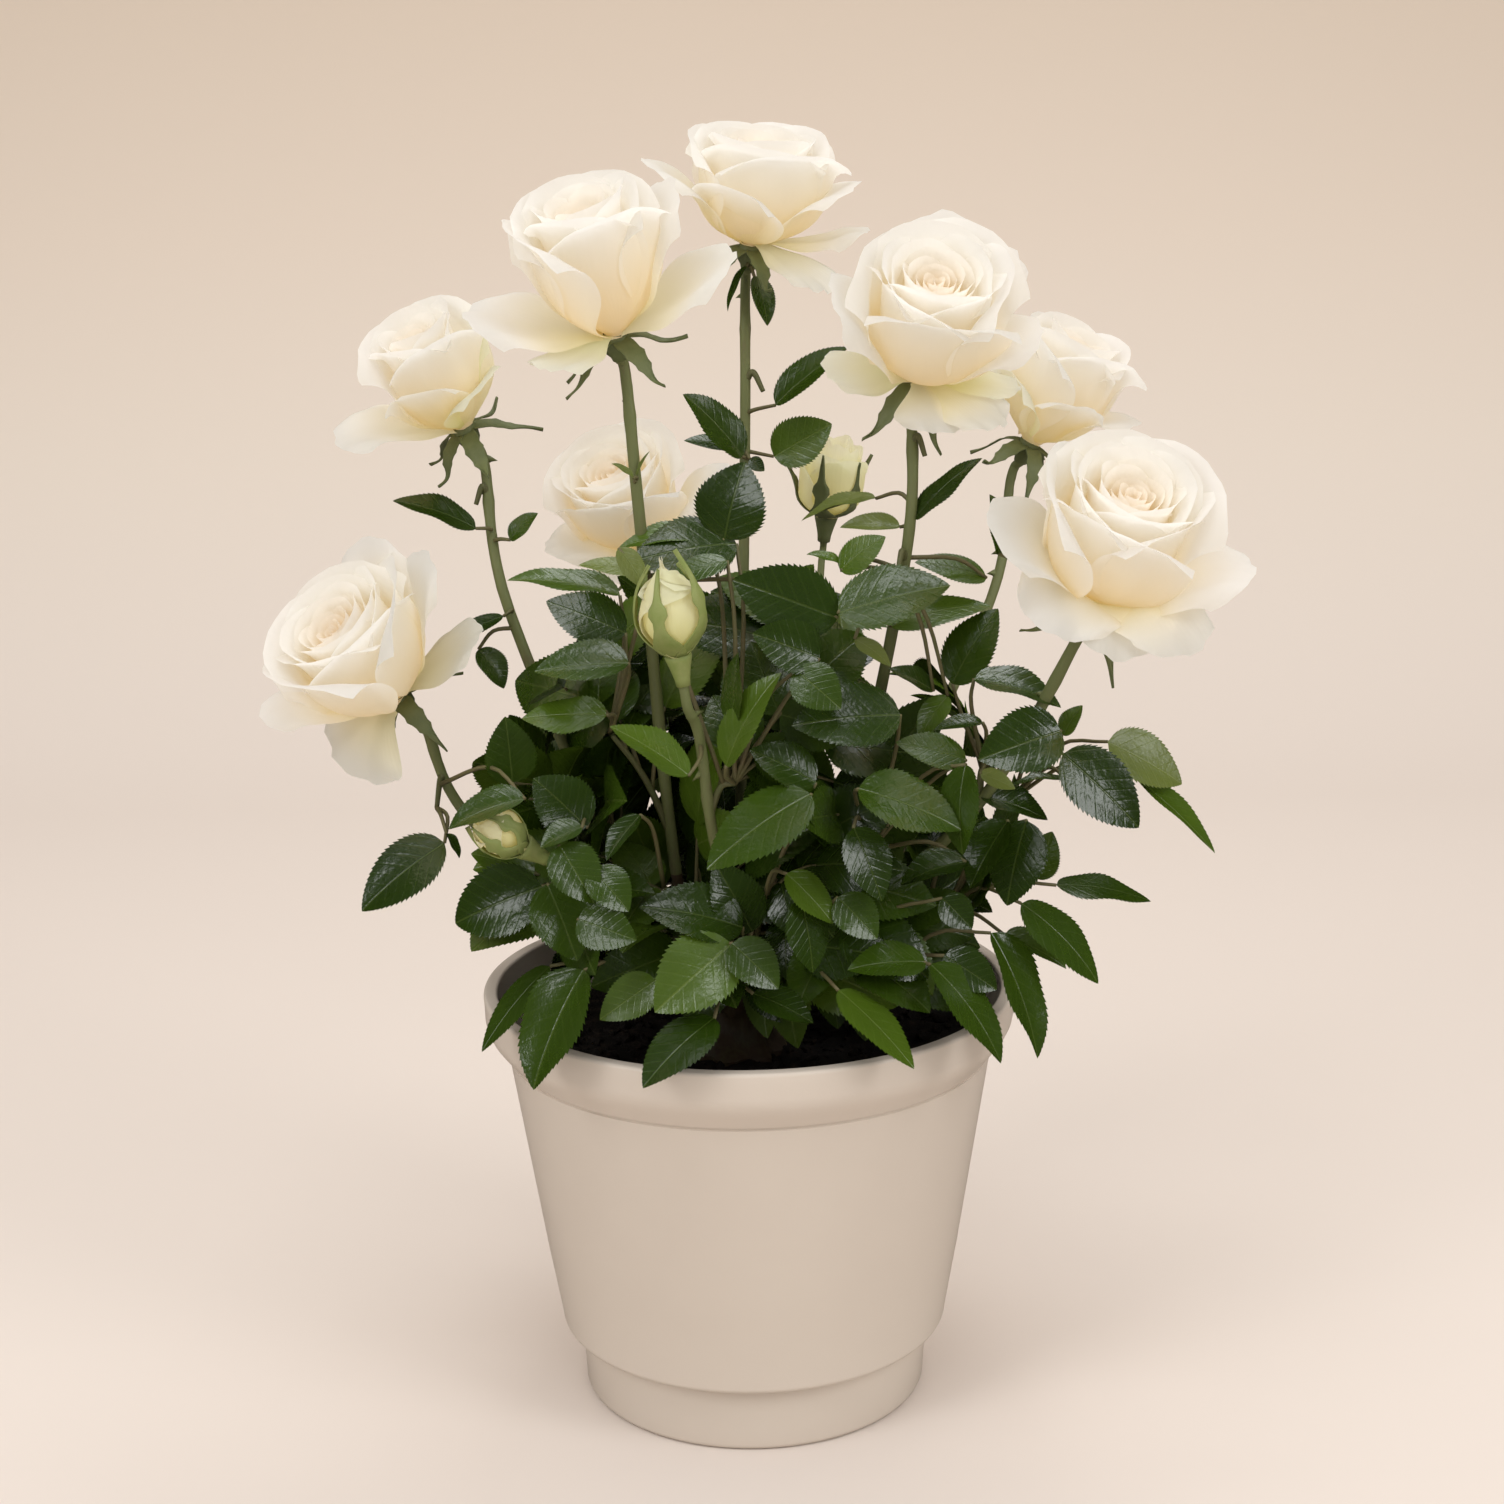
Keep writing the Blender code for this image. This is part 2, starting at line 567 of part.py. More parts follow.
def drop_scraps(item):
    """Keeps the largest body of a fused mesh."""
    shape = bmesh.new()
    shape.from_mesh(item.data)
    left = set(shape.verts)
    bodies = []
    while left:
        body = {left.pop()}
        edge = list(body)
        while edge:
            for link in edge.pop().link_edges:
                for vert in link.verts:
                    if vert in left:
                        left.remove(vert)
                        body.add(vert)
                        edge.append(vert)
        bodies.append(body)
    largest = max(bodies, key=len)
    loose = [v for v in shape.verts if v not in largest]
    bmesh.ops.delete(shape, geom=loose, context="VERTS")
    shape.to_mesh(item.data)
    shape.free()


def make_flower(name):
    calyx, facing, radius, height, guards = FLOWERS[name]
    frame = flower_frame(calyx, facing)
    if guards:
        add_object(name, outward_mesh(*bloom_data(radius, height, guards), frame), "petal")
        return
    pieces = [bud_data(radius, height)]
    pieces += [sepal_data(360 / SEPALS * k + 20) for k in range(SEPALS)]
    fuse(name, [outward_mesh(*piece, frame) for piece in pieces], "bud")


# ---- leafy masses ----------------------------------------------------------


def leaflet_data(root, heading, normal, length):
    """A pointed leaflet of eight faces, folded along its rib, its root sunk in the stalk."""
    side = heading.cross(normal).normalized()
    normal = side.cross(heading).normalized()
    half = length * LEAFLET_SHAPE / 2
    lift = normal * half * LEAFLET_FOLD

    def rib(share):
        return root + heading * length * share - UP * length * LEAFLET_DROOP * share**2

    widest, tip = rib(LEAFLET_WIDEST), rib(1.0)
    sunk = root - heading * LEAFLET_SUNK
    points = [sunk, tip, widest + side * half + lift, widest - side * half + lift,
              widest + normal * LEAFLET_THICKNESS / 2, widest - normal * LEAFLET_THICKNESS / 2]
    faces = [(0, 2, 4), (2, 1, 4), (1, 3, 4), (3, 0, 4), (2, 0, 5), (1, 2, 5), (3, 1, 5), (0, 3, 5)]
    return points, faces


def leaf_pieces(node, heading, outward, length, rng):
    """A compound leaf: a stalk that droops, a leaflet at its end and a few pairs beside it.

    Each piece comes as (points, faces), the stalk first.
    """
    sag = rng.uniform(*LEAF_SAG)

    def along(share):
        return node + heading * length * share - UP * length * sag * share**2

    path = [node, along(0.5), along(1.0)]
    end_way = (path[2] - path[1]).normalized()
    stalk = tube_data(path, [STALK_RADIUS * 1.3, STALK_RADIUS, STALK_RADIUS * 0.8], 3)
    upwards, outwards, stray = LEAF_LIGHT
    light = UP * upwards + outward * outwards
    light += Vector([rng.uniform(-stray, stray) for _ in range(3)])
    normal = (light - end_way * light.dot(end_way)).normalized()
    across = end_way.cross(normal)
    pieces = [stalk, leaflet_data(path[2], end_way, normal, LEAFLET_LENGTH * rng.uniform(0.95, 1.1))]
    for share, size in LEAFLET_PAIRS:
        for hand in (-1, 1):
            spot = path[0].lerp(path[1], share * 2) if share < 0.5 else path[1].lerp(path[2], share * 2 - 1)
            way = (end_way * rng.uniform(0.2, 0.5) + across * hand).normalized()
            pieces.append(leaflet_data(spot, way, normal, LEAFLET_LENGTH * size * rng.uniform(0.9, 1.05)))
    return pieces


def lay_stem(name, limbs, taken):
    """The stem of a mass, from its cane towards its last leaf, bowed to pass what is there."""
    parent, where, last, _, _ = MASSES[name]
    last = Vector(last)
    root, heading = start_of(limbs, parent, where, last, STEM_RADIUS)
    way = (last - root).normalized()
    end = last - way * min(LAST_LEAF, LONGEST_LAST * (last - root).length)
    across = way.cross(UP).normalized()
    for sway in (0, 1, -1, 2, -2, 3, -3, 4):
        bow = root + heading * (end - root).length * 0.45 + (UP + across * sway) * STEM_BOW
        path = smooth_path([root, bow, end], 2)
        radii = [STEM_RADIUS - STEM_TAPER * i / (len(path) - 1) for i in range(len(path))]
        stem = tube_data(path, radii, 3)
        tree = BVHTree.FromPolygons(*stem, epsilon=GAP)
        if not any(tree.overlap(other) for other in taken):
            break
    taken.append(tree)
    return path, radii, stem, tree


def grow_mass(name, stems, taken):
    """One mass: a stem from its cane, and leaves by a seeded rule round the stem.

    A leaf that would leave the mass's space or touch what is there is skipped.
    """
    _, _, last, reach, count = MASSES[name]
    stem, radii, stem_data, stem_tree = stems[name]
    taken.remove(stem_tree)
    rng = random.Random(name)
    last = Vector(last)
    limb = (stem, radii)
    outward_home = Vector((last.x, last.y, 0)).normalized()
    meshes = [outward_mesh(*stem_data)]
    own = []
    turn = rng.uniform(0, 2 * math.pi)
    for i in range(count):
        down = (i - 1) / max(count - 1, 1)
        share = 1.0 if i == 0 else HIGHEST_NODE + (LOWEST_NODE - HIGHEST_NODE) * down
        node, tangent, _ = place_on(limb, share)
        side = tangent.orthogonal().normalized()
        other = tangent.cross(side)
        turn += GOLDEN_TURN
        best = []
        for attempt in range(ATTEMPTS):
            spread = side * math.cos(turn + attempt) + other * math.sin(turn + attempt)
            way = spread + tangent * 0.5 + outward_home * 0.5 + UP * 0.12 * attempt
            length = STALK_LENGTH * rng.uniform(0.85, 1.1)
            if i == 0:
                way = last + UP * 0.012 * (1 + attempt) - node
                length = STALK_LENGTH * LAST_STALK
            way.normalize()
            pieces = leaf_pieces(node - way * STEM_RADIUS * 0.5, way, outward_home, length, rng)
            if not fits(pieces[0], stem, reach, taken + own):
                continue
            kept, trees = [], []
            for piece in pieces[1:]:
                if fits(piece, stem, reach, taken + [stem_tree] + own + trees):
                    kept.append(piece)
                    trees.append(BVHTree.FromPolygons(*piece))
            if len(kept) + 1 > len(best):
                best = [pieces[0], *kept]
        if len(best) > 1:
            own += [BVHTree.FromPolygons(*piece) for piece in best]
            meshes += [outward_mesh(*piece) for piece in best]
    mass = fuse(name, meshes, "leaf")
    taken.append(tree_of(mass.data))
    return mass


def fits(piece, stem, reach, taken):
    """Whether a piece keeps to its space and clear of all that is already there."""
    points, faces = piece
    for point in points:
        if min((point - s).length for s in stem) > reach:
            return False
        over_pot = math.hypot(point.x, point.y) < RIM_RADIUS
        if point.z < (COMPOST_HEIGHT + LEAF_CLEAR if over_pot else LOWEST_LEAF):
            return False
    tree = BVHTree.FromPolygons(points, faces, epsilon=GAP)
    return not any(tree.overlap(other) for other in taken)


def tree_of(mesh):
    return BVHTree.FromPolygons(
        [v.co.copy() for v in mesh.vertices], [tuple(p.vertices) for p in mesh.polygons], epsilon=GAP
    )


def main():
    clear_scene()
    pot = turned("pot", pot_profile(), POT_STEPS, "pot")
    compost = turned("compost", compost_profile(), POT_STEPS, "compost")
    burl = make_burl()
    limbs = make_canes()
    for name in FLOWERS:
        make_flower(name)
    taken = [tree_of(item.data) for item in (pot, compost, burl)]
    taken += [tree_of(bpy.data.objects[name].data) for name in (*CANES, *FLOWERS)]
    stems = {name: lay_stem(name, limbs, taken) for name in MASSES}
    for name in MASSES:
        grow_mass(name, stems, taken)


main()
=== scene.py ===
"""The finish of a white rose bush in a round plastic pot.

Metres, +Z up. The origin is the middle of the pot's underside and the front of
the bush looks along -Y. The pot, the compost, the burl and the canes are turned
and drawn again with their relief, the blooms get their petals, and the leafy
masses grow on as twigs and serrated leaves.
"""

import math
import random

import bpy
import numpy as np
from mathutils import Matrix, Vector, noise
from mathutils.bvhtree import BVHTree


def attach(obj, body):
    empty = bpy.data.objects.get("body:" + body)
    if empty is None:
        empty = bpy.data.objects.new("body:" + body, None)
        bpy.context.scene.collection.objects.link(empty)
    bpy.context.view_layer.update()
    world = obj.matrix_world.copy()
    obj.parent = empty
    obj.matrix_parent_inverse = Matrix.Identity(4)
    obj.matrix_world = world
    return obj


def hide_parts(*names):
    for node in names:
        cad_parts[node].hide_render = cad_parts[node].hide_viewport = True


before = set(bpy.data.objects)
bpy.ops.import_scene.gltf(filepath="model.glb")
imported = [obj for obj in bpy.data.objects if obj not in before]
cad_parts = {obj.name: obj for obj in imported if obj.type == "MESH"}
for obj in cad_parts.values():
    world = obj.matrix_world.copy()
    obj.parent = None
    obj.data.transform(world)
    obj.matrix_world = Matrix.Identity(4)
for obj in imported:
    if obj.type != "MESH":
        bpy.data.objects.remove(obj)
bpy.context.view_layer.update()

UP = Vector((0, 0, 1))
FRONT = Vector((0, -1, 0))
GOLDEN_TURN = math.radians(137.5)
SHARP_FROM = math.radians(32)

# ---- sizes of the pot ------------------------------------------------------

RIM_RADIUS = 0.125
RIM_HEIGHT = 0.200
LIP_WIDTH = 0.0066
LIP_DEPTH = 0.012
GROOVE_HEIGHT = 0.1706
GROOVE_RADIUS = 0.1142
GROOVE_SIZE = 0.0009
STEP_HEIGHT = 0.0335
STEP_RADIUS = 0.0928
FOOT_TOP_RADIUS = 0.0838
FOOT_RADIUS = 0.0822
EDGE_ROUND = 0.0030
WALL = 0.0028
POT_STEPS = 144
COMPOST_HEIGHT = 0.172
COMPOST_CROWN = 0.004
CRUMBS = 900

# ---- sizes of the plant ----------------------------------------------------

BURL_FOOT = Vector((-0.006, -0.020, COMPOST_HEIGHT + COMPOST_CROWN))
BURL_RADIUS = 0.017
BURL_RISE = 0.026
BURL_LEAN = 0.004

# Canes: what each leaves and where, the places it passes, and its radii at foot and
# tip. On the burl, where is a bearing from +X and a pitch; on a cane, the share of the
# way up it. cane_left carries bloom_left, and cane_bud_low carries bud_low.
CANES = {
    "cane_left": ("burl", (170, 35), [(-0.068, 0.0, 0.279), (-0.11, 0.02, 0.38)], 0.0046, 0.0031),
    "cane_left_high": ("burl", (225, 54), [(-0.031, -0.03, 0.254), (-0.043, -0.06, 0.423)], 0.0047, 0.0031),
    "cane_top": ("burl", (85, 80), [(-0.003, 0.01, 0.261), (0.002, 0.035, 0.446)], 0.0046, 0.003),
    "cane_right_high": ("burl", (20, 60), [(0.043, -0.02, 0.268), (0.071, -0.045, 0.406)], 0.0047, 0.0031),
    "cane_right_front": ("burl", (-30, 28), [(0.06, -0.035, 0.249), (0.107, -0.06, 0.306)], 0.0046, 0.0032),
    "cane_right_back": ("burl", (45, 25), [(0.064, 0.03, 0.264), (0.12, 0.07, 0.368)], 0.0045, 0.003),
    "cane_back": ("burl", (110, 28), [(-0.027, 0.04, 0.278), (-0.041, 0.08, 0.344)], 0.0044, 0.003),
    "cane_far_left": ("burl", (192, 8), [(-0.087, -0.015, 0.245), (-0.13, -0.022, 0.292)], 0.0044, 0.003),
    "cane_bud_front": ("burl", (-75, 50), [(-0.013, -0.075, 0.285), (-0.019, -0.09, 0.338)], 0.004, 0.0029),
    "cane_bud_back": ("cane_top", 0.36, [(0.032, 0.055, 0.347)], 0.003, 0.0022),
    "cane_bud_low": ("cane_far_left", 0.42, [(-0.078, -0.056, 0.27)], 0.0026, 0.002),
}
CANE_SIDES = 14
CANE_PIECES = 14
CANE_SETTING_OFF = 0.22  # it keeps its first heading for this share of the way to its first place
CANE_NECK = 0.012  # it runs straight into its flower over this length
CANE_ROUND = 0.73  # a round cane against its faceted solid
BARK_RELIEF = 0.05
NODE_SWELL = 0.10
NODE_SPACING = 17  # in pieces of the path
WOODY_BELOW = 0.262
THORNS = 5

# Flowers: calyx, facing, radius and height of the cup or bud, number of its petals, and
# a bloom's guard petals as (bearing, rise, spread, length and width in millimetres,
# greenness). Rise is the lean of a petal's lower half from the flower's axis and spread
# that of its tip. Bearing 0 is the flower's front and 90 its right.
FLOWERS = {
    "bloom_far_left": ((-0.156, -0.030, 0.347), (-0.48, -0.48, 0.74), 0.038, 0.054, 26, [
        (150, 26, 40, 68, 56, 0), (112, 30, 48, 62, 50, 0), (84, 86, 74, 46, 34, 0.2),
        (-76, 92, 130, 38, 84, 0.1), (-100, 46, 76, 56, 36, 0), (-126, 30, 46, 54, 50, 0)]),
    "bloom_left": ((-0.128, 0.030, 0.460), (-0.38, -0.36, 0.85), 0.027, 0.055, 18, [
        (-80, 58, 70, 54, 52, 0.1), (52, 30, 62, 36, 44, 0.7), (104, 18, 34, 48, 30, 0.9),
        (-20, 24, 32, 44, 46, 0.1), (170, 18, 26, 56, 46, 0.2)]),
    "bloom_left_high": ((-0.052, -0.070, 0.507), (-0.20, -0.38, 0.90), 0.031, 0.062, 22, [
        (-88, 70, 56, 56, 52, 0), (84, 70, 56, 56, 50, 0.1), (-44, 86, 72, 40, 30, 0.5),
        (116, 20, 34, 62, 48, 0), (-140, 18, 34, 60, 48, 0), (172, 14, 26, 62, 46, 0)]),
    "bloom_top": ((0.006, 0.040, 0.540), (0.12, -0.22, 0.97), 0.036, 0.050, 24, [
        (-78, 36, 54, 58, 56, 0.1), (80, 30, 50, 54, 56, 0), (92, 84, 62, 50, 24, 0.1),
        (52, 98, 108, 44, 26, 0.2), (-24, 32, 40, 48, 50, 0), (170, 30, 50, 52, 50, 0)]),
    "bloom_right_high": ((0.077, -0.050, 0.486), (0.10, -0.60, 0.79), 0.035, 0.059, 26, [
        (176, 16, 38, 66, 56, 0), (136, 20, 44, 62, 44, 0), (-84, 26, 38, 60, 54, 0),
        (86, 36, 56, 54, 44, 0), (-78, 84, 76, 38, 26, 0.5), (26, 90, 112, 28, 40, 0.1),
        (58, 88, 98, 38, 34, 0.2), (84, 84, 90, 38, 22, 0.6)]),
    "bloom_right_back": ((0.141, 0.090, 0.443), (0.40, -0.20, 0.89), 0.032, 0.058, 20, [
        (-58, 34, 40, 44, 44, 0.6), (84, 32, 62, 50, 44, 0.1), (20, 30, 44, 46, 46, 0.1),
        (150, 26, 44, 52, 46, 0), (-140, 24, 40, 50, 44, 0)]),
    "bloom_right_front": ((0.148, -0.090, 0.398), (0.19, -0.54, 0.82), 0.038, 0.063, 27, [
        (-80, 42, 62, 60, 62, 0), (84, 42, 62, 62, 50, 0), (-32, 44, 114, 48, 52, 0),
        (12, 46, 122, 45, 52, 0.1), (50, 46, 114, 52, 52, 0.1), (150, 22, 36, 58, 50, 0),
        (-150, 22, 36, 58, 50, 0)]),
    "bloom_back": ((-0.052, 0.110, 0.395), (-0.28, -0.48, 0.83), 0.036, 0.050, 24, [
        (72, 44, 62, 62, 46, 0), (-72, 46, 70, 44, 46, 0.1), (-6, 66, 96, 38, 44, 0.1),
        (104, 92, 100, 56, 34, 0.1), (160, 28, 44, 52, 46, 0)]),
    "bud_back": ((0.041, 0.080, 0.409), (0.10, -0.20, 0.97), 0.0205, 0.036, 12, []),
    "bud_front": ((-0.027, -0.100, 0.376), (-0.15, -0.08, 0.98), 0.0135, 0.041, 9, []),
    "bud_low": ((-0.096, -0.083, 0.290), (-0.76, -0.32, 0.57), 0.009, 0.029, 9, []),
}
HIP_LENGTH = 0.011
HIP_RADIUS = 0.0052
HIP_NECK = 0.0032
STOUT_BUD = 0.0147  # a bud wider than this has begun to open
# The hip's outline, a funnel under a bud (False) and an urn under a bloom (True): two
# places at its neck, then shares of its radius and length, and how high its crown is.
HIP_NECKS = {False: ((0.90, -0.002), (0.98, 0.001)), True: ((0.95, -0.001), (1.10, 0.001))}
HIP_SHAPES = {False: ((0.72, -0.66), (0.86, -0.40), (1.02, -0.14), (1.08, 0.0)),
              True: ((0.94, -0.72), (1.05, -0.45), (0.98, -0.18), (0.86, 0.0))}
HIP_CROWN = {False: 0.0014, True: 0.0012}

# Leafy masses: the limb that the stem leaves and where, as for the canes, where its last
# leaf hangs, how far its leaves may stray from the stem, and how many leaves it tries.
MASSES = {
    "leaves_far_left": ("cane_far_left", 0.66, (-0.148, -0.040, 0.266), 0.100, 2),
    "leaves_left_shoulder": ("cane_left", 0.34, (-0.106, -0.012, 0.318), 0.100, 11),
    "leaves_left_low": ("cane_far_left", 0.34, (-0.108, -0.068, 0.252), 0.100, 10),
    "leaves_left_front": ("burl", (222, 30), (-0.082, -0.112, 0.222), 0.110, 12),
    "leaves_left_middle": ("cane_left_high", 0.22, (-0.062, -0.092, 0.308), 0.100, 16),
    "leaves_front_low": ("burl", (262, 26), (-0.030, -0.118, 0.234), 0.110, 12),
    "leaves_front": ("cane_bud_front", 0.20, (0.012, -0.118, 0.304), 0.100, 13),
    "leaves_front_right": ("burl", (300, 30), (0.056, -0.118, 0.230), 0.110, 13),
    "leaves_right_low": ("burl", (330, 8), (0.098, -0.100, 0.220), 0.110, 13),
    "leaves_right_hang": ("cane_right_front", 0.36, (0.150, -0.030, 0.242), 0.100, 9),
    "leaves_far_right": ("cane_right_back", 0.42, (0.180, -0.010, 0.294), 0.100, 5),
    "leaves_right_middle": ("cane_right_high", 0.32, (0.080, -0.098, 0.314), 0.100, 12),
    "leaves_right_shoulder": ("cane_right_front", 0.58, (0.110, -0.044, 0.350), 0.090, 5),
    "leaves_left_upper": ("cane_left_high", 0.44, (-0.084, -0.070, 0.384), 0.100, 5),
    "leaves_left_gap": ("cane_left", 0.46, (-0.064, -0.040, 0.352), 0.090, 14),
    "leaves_left_elbow": ("cane_far_left", 0.56, (-0.126, -0.058, 0.306), 0.090, 3),
    "leaves_middle": ("cane_bud_front", 0.46, (0.022, -0.098, 0.352), 0.090, 12),
    "leaves_middle_upper": ("cane_left_high", 0.56, (-0.002, -0.072, 0.420), 0.090, 0),
    "leaves_right_centre": ("cane_right_high", 0.50, (0.030, -0.062, 0.388), 0.090, 11),
    "leaves_right_upper": ("cane_right_high", 0.60, (0.058, -0.086, 0.396), 0.090, 5),
    "leaves_top_cane": ("cane_top", 0.66, (0.030, 0.026, 0.462), 0.080, 0),
    "leaves_right_cane": ("cane_right_high", 0.74, (0.092, -0.052, 0.440), 0.080, 0),
    "leaves_left_cane": ("cane_left", 0.74, (-0.136, 0.022, 0.414), 0.080, 0),
    "leaves_back_left": ("burl", (150, 20), (-0.096, 0.078, 0.244), 0.110, 24),
    "leaves_back": ("cane_back", 0.40, (-0.040, 0.116, 0.306), 0.100, 15),
    "leaves_back_right": ("cane_right_back", 0.16, (0.086, 0.100, 0.250), 0.110, 16),
    "leaves_back_low": ("burl", (95, 14), (-0.010, 0.116, 0.232), 0.110, 20),
    "leaves_back_upper": ("cane_top", 0.44, (-0.016, 0.080, 0.366), 0.090, 12),
}
# Leaves placed one by one, by the limb they leave: the x and z of foot and tip as they
# stand, seen from the front, against an upright board at BOARD, the y of foot and tip,
# the width against the length as it shows, and the green (0 darkest). In millimetres.
BOARD = -0.090
LEADING_LEAVES = {
    "leaves_left_front": [
        (-71, 236, -95, 181, -96, -114, 0.60, 1), (-86, 238, -117, 199, -70, -84, 0.30, 1),
        (-73, 259, -48, 249, -104, -112, 0.75, 1), (-86, 275, -74, 240, -88, -98, 0.75, 1)],
    "leaves_front_low": [
        (-7, 247, -41, 216, -104, -120, 0.80, 2), (-40, 231, -65, 213, -100, -108, 0.70, 2),
        (2, 224, 28, 210, -98, -106, 0.55, 0), (-2, 254, -46, 264, -92, -92, 0.62, 0),
        (2, 252, -14, 284, -84, -84, 0.70, 0),
        (-15, 213, -47, 181, -114, -136, 0.52, 0), (-7, 247, 13, 226, -106, -114, 0.76, 1)],
    "leaves_left_low": [
        (-88, 274, -126, 258, -84, -78, 0.72, 0), (-91, 280, -118, 289, -66, -70, 0.66, 2),
        (-80, 292, -66, 266, -98, -106, 0.85, 1), (-66, 281, -51, 262, -100, -108, 0.85, 1)],
    "leaves_left_shoulder": [
        (-68, 300, -90, 322, -84, -80, 0.85, 0), (-99, 320, -101, 349, -60, -62, 0.80, 1),
        (-70, 300, -88, 291, -94, -98, 0.60, 1)],
    "leaves_far_left": [
        (-94, 313, -127, 300, -96, -92, 0.40, 1), (-129, 294, -166, 264, -42, -50, 0.64, 0),
        (-128, 298, -123, 287, -44, -46, 0.50, 0)],
    "leaves_left_middle": [(-45, 305, -60, 285, -90, -98, 0.45, 0)],
    "leaves_left_upper": [
        (-48, 371, -88, 368, -84, -80, 0.52, 1), (-49, 384, -82, 398, -66, -62, 0.66, 0),
        (-58, 349, -94, 348, -74, -66, 0.46, 2), (-51, 400, -98, 407, -44, -40, 0.26, 2),
        (-38, 409, -68, 413, -70, -66, 0.34, 3)],
    "leaves_middle": [
        (32, 372, 4, 383, -92, -94, 0.75, 0), (22, 367, 41, 350, -98, -106, 0.85, 1),
        (-8, 326, 16, 366, -98, -100, 0.36, 2), (-4, 343, -2, 375, -94, -92, 0.36, 1),
        (-14, 426, -51, 420, -60, -66, 0.30, 2), (-2, 421, -46, 414, -66, -74, 0.66, 0),
        (-6, 414, -32, 404, -80, -86, 0.46, 1), (-51, 420, -40, 402, -88, -90, 0.55, 3)],
    "leaves_middle_upper": [(-7, 423, 2, 455, -66, -62, 1.00, 0), (40, 389, -4, 406, -86, -82, 0.68, 0)],
    "leaves_right_upper": [
        (86, 355, 74, 336, -60, -66, 0.60, 2), (80, 357, 61, 367, -60, -58, 0.50, 1),
        (40, 391, 87, 402, -90, -90, 0.58, 1), (62, 385, 104, 393, -46, -40, 0.38, 2),
        (102, 405, 72, 412, -30, -34, 0.46, 2), (41, 409, 60, 423, -56, -56, 0.60, 2),
        (41, 412, 27, 416, -52, -52, 0.40, 2), (47, 380, 62, 368, -84, -88, 0.45, 3)],
    "leaves_front": [
        (28, 313, -17, 280, -112, -124, 0.60, 1), (30, 318, 2, 333, -98, -96, 0.66, 0),
        (17, 278, 37, 255, -104, -110, 0.55, 2)],
    "leaves_right_middle": [
        (66, 347, 20, 343, -92, -96, 0.66, 0), (48, 315, 92, 296, -106, -110, 0.62, 1),
        (94, 325, 93, 285, -100, -108, 0.58, 1), (46, 298, 58, 265, -106, -112, 0.66, 0),
        (94, 327, 64, 335, -88, -88, 0.52, 1), (94, 282, 66, 272, -88, -92, 0.50, 0)],
    "leaves_right_shoulder": [
        (88, 360, 107, 392, -50, -44, 0.62, 1), (97, 362, 134, 349, -64, -70, 0.44, 1),
        (101, 343, 80, 340, -76, -76, 0.38, 0),
        (134, 339, 99, 327, -100, -108, 0.80, 0), (135, 337, 143, 350, -60, -58, 0.60, 2)],
    "leaves_far_right": [
        (135, 329, 168, 296, -62, -66, 0.66, 0), (154, 334, 186, 315, -40, -36, 0.64, 3),
        (166, 318, 201, 284, -38, -40, 0.25, 2), (137, 318, 112, 315, -58, -60, 0.20, 1),
        (100, 321, 115, 314, -84, -84, 0.50, 3)],
    "leaves_right_hang": [
        (133, 271, 174, 263, -50, -46, 0.36, 1), (124, 274, 131, 295, -44, -42, 0.80, 2),
        (118, 263, 152, 226, -72, -80, 0.46, 1), (111, 249, 138, 233, -60, -62, 0.46, 2),
        (100, 311, 129, 300, -60, -60, 0.50, 0),
        (120, 300, 112, 262, -80, -86, 0.70, 0), (112, 300, 96, 270, -84, -90, 0.60, 0)],
    "leaves_right_low": [
        (79, 236, 110, 190, -100, -112, 0.46, 1), (105, 250, 126, 192, -78, -90, 0.34, 1),
        (85, 240, 108, 224, -90, -98, 0.70, 0)],
    "leaves_front_right": [
        (39, 225, 72, 188, -110, -128, 0.45, 2), (77, 237, 43, 234, -104, -108, 0.60, 1),
        (23, 267, 28, 233, -108, -114, 0.64, 0), (39, 267, 56, 248, -104, -110, 0.80, 1),
        (84, 266, 97, 252, -92, -96, 0.80, 0)],
    "cane_left_high": [
        (-44, 449, -53, 455, -72, -74, 0.36, 3), (-43, 448, -37, 460, -66, -66, 0.20, 3)],
    "cane_bud_front": [(-24, 322, -57, 344, -112, -108, 0.50, 2)],
    "cane_top": [
        (1, 457, -23, 483, 30, 26, 0.46, 1), (-1, 461, -23, 464, 40, 40, 0.40, 1),
        (7, 530, 12, 510, 34, 32, 0.50, 1), (4, 534, -4, 516, 36, 36, 0.24, 1),
        (15, 478, 45, 501, 30, 28, 0.36, 1), (14, 457, 38, 470, 34, 34, 0.74, 2),
        (4, 456, 10, 451, 30, 28, 0.80, 0)],
    "cane_left": [
        (-110, 429, -144, 441, 20, 14, 0.36, 0), (-96, 424, -84, 435, 18, 18, 0.50, 1),
        (-100, 392, -130, 378, 10, 4, 0.26, 0), (-111, 378, -101, 361, 8, 6, 0.60, 1)],
    "cane_right_high": [
        (72, 430, 100, 455, -46, -50, 0.28, 0), (56, 439, 25, 430, -28, -20, 0.26, 3),
        (66, 427, 41, 427, -36, -34, 0.34, 3)],
    "cane_right_front": [(107, 415, 103, 440, -70, -70, 0.42, 1)],
}
LEADING_CLEAR = 0.024  # no other leaf grows in front of a leading one within this
LEADING_DEPTH = 0.006
# Nor in front of these canes, this close to their middle and above this height.
SHOWN_CANES = ("cane_bud_front", "cane_left_high")
SHOWN_CLEAR = 0.019
SHOWN_ABOVE = 0.278
# No leaf but a leading one hangs in front of the rim or over its two front quarters.
RIM_FRONT, RIM_SHOWS, RIM_SIDE_SHOWS = -0.085, 0.213, 0.240
RIM_SHIFT, RIM_SIDE = 0.010, 0.098
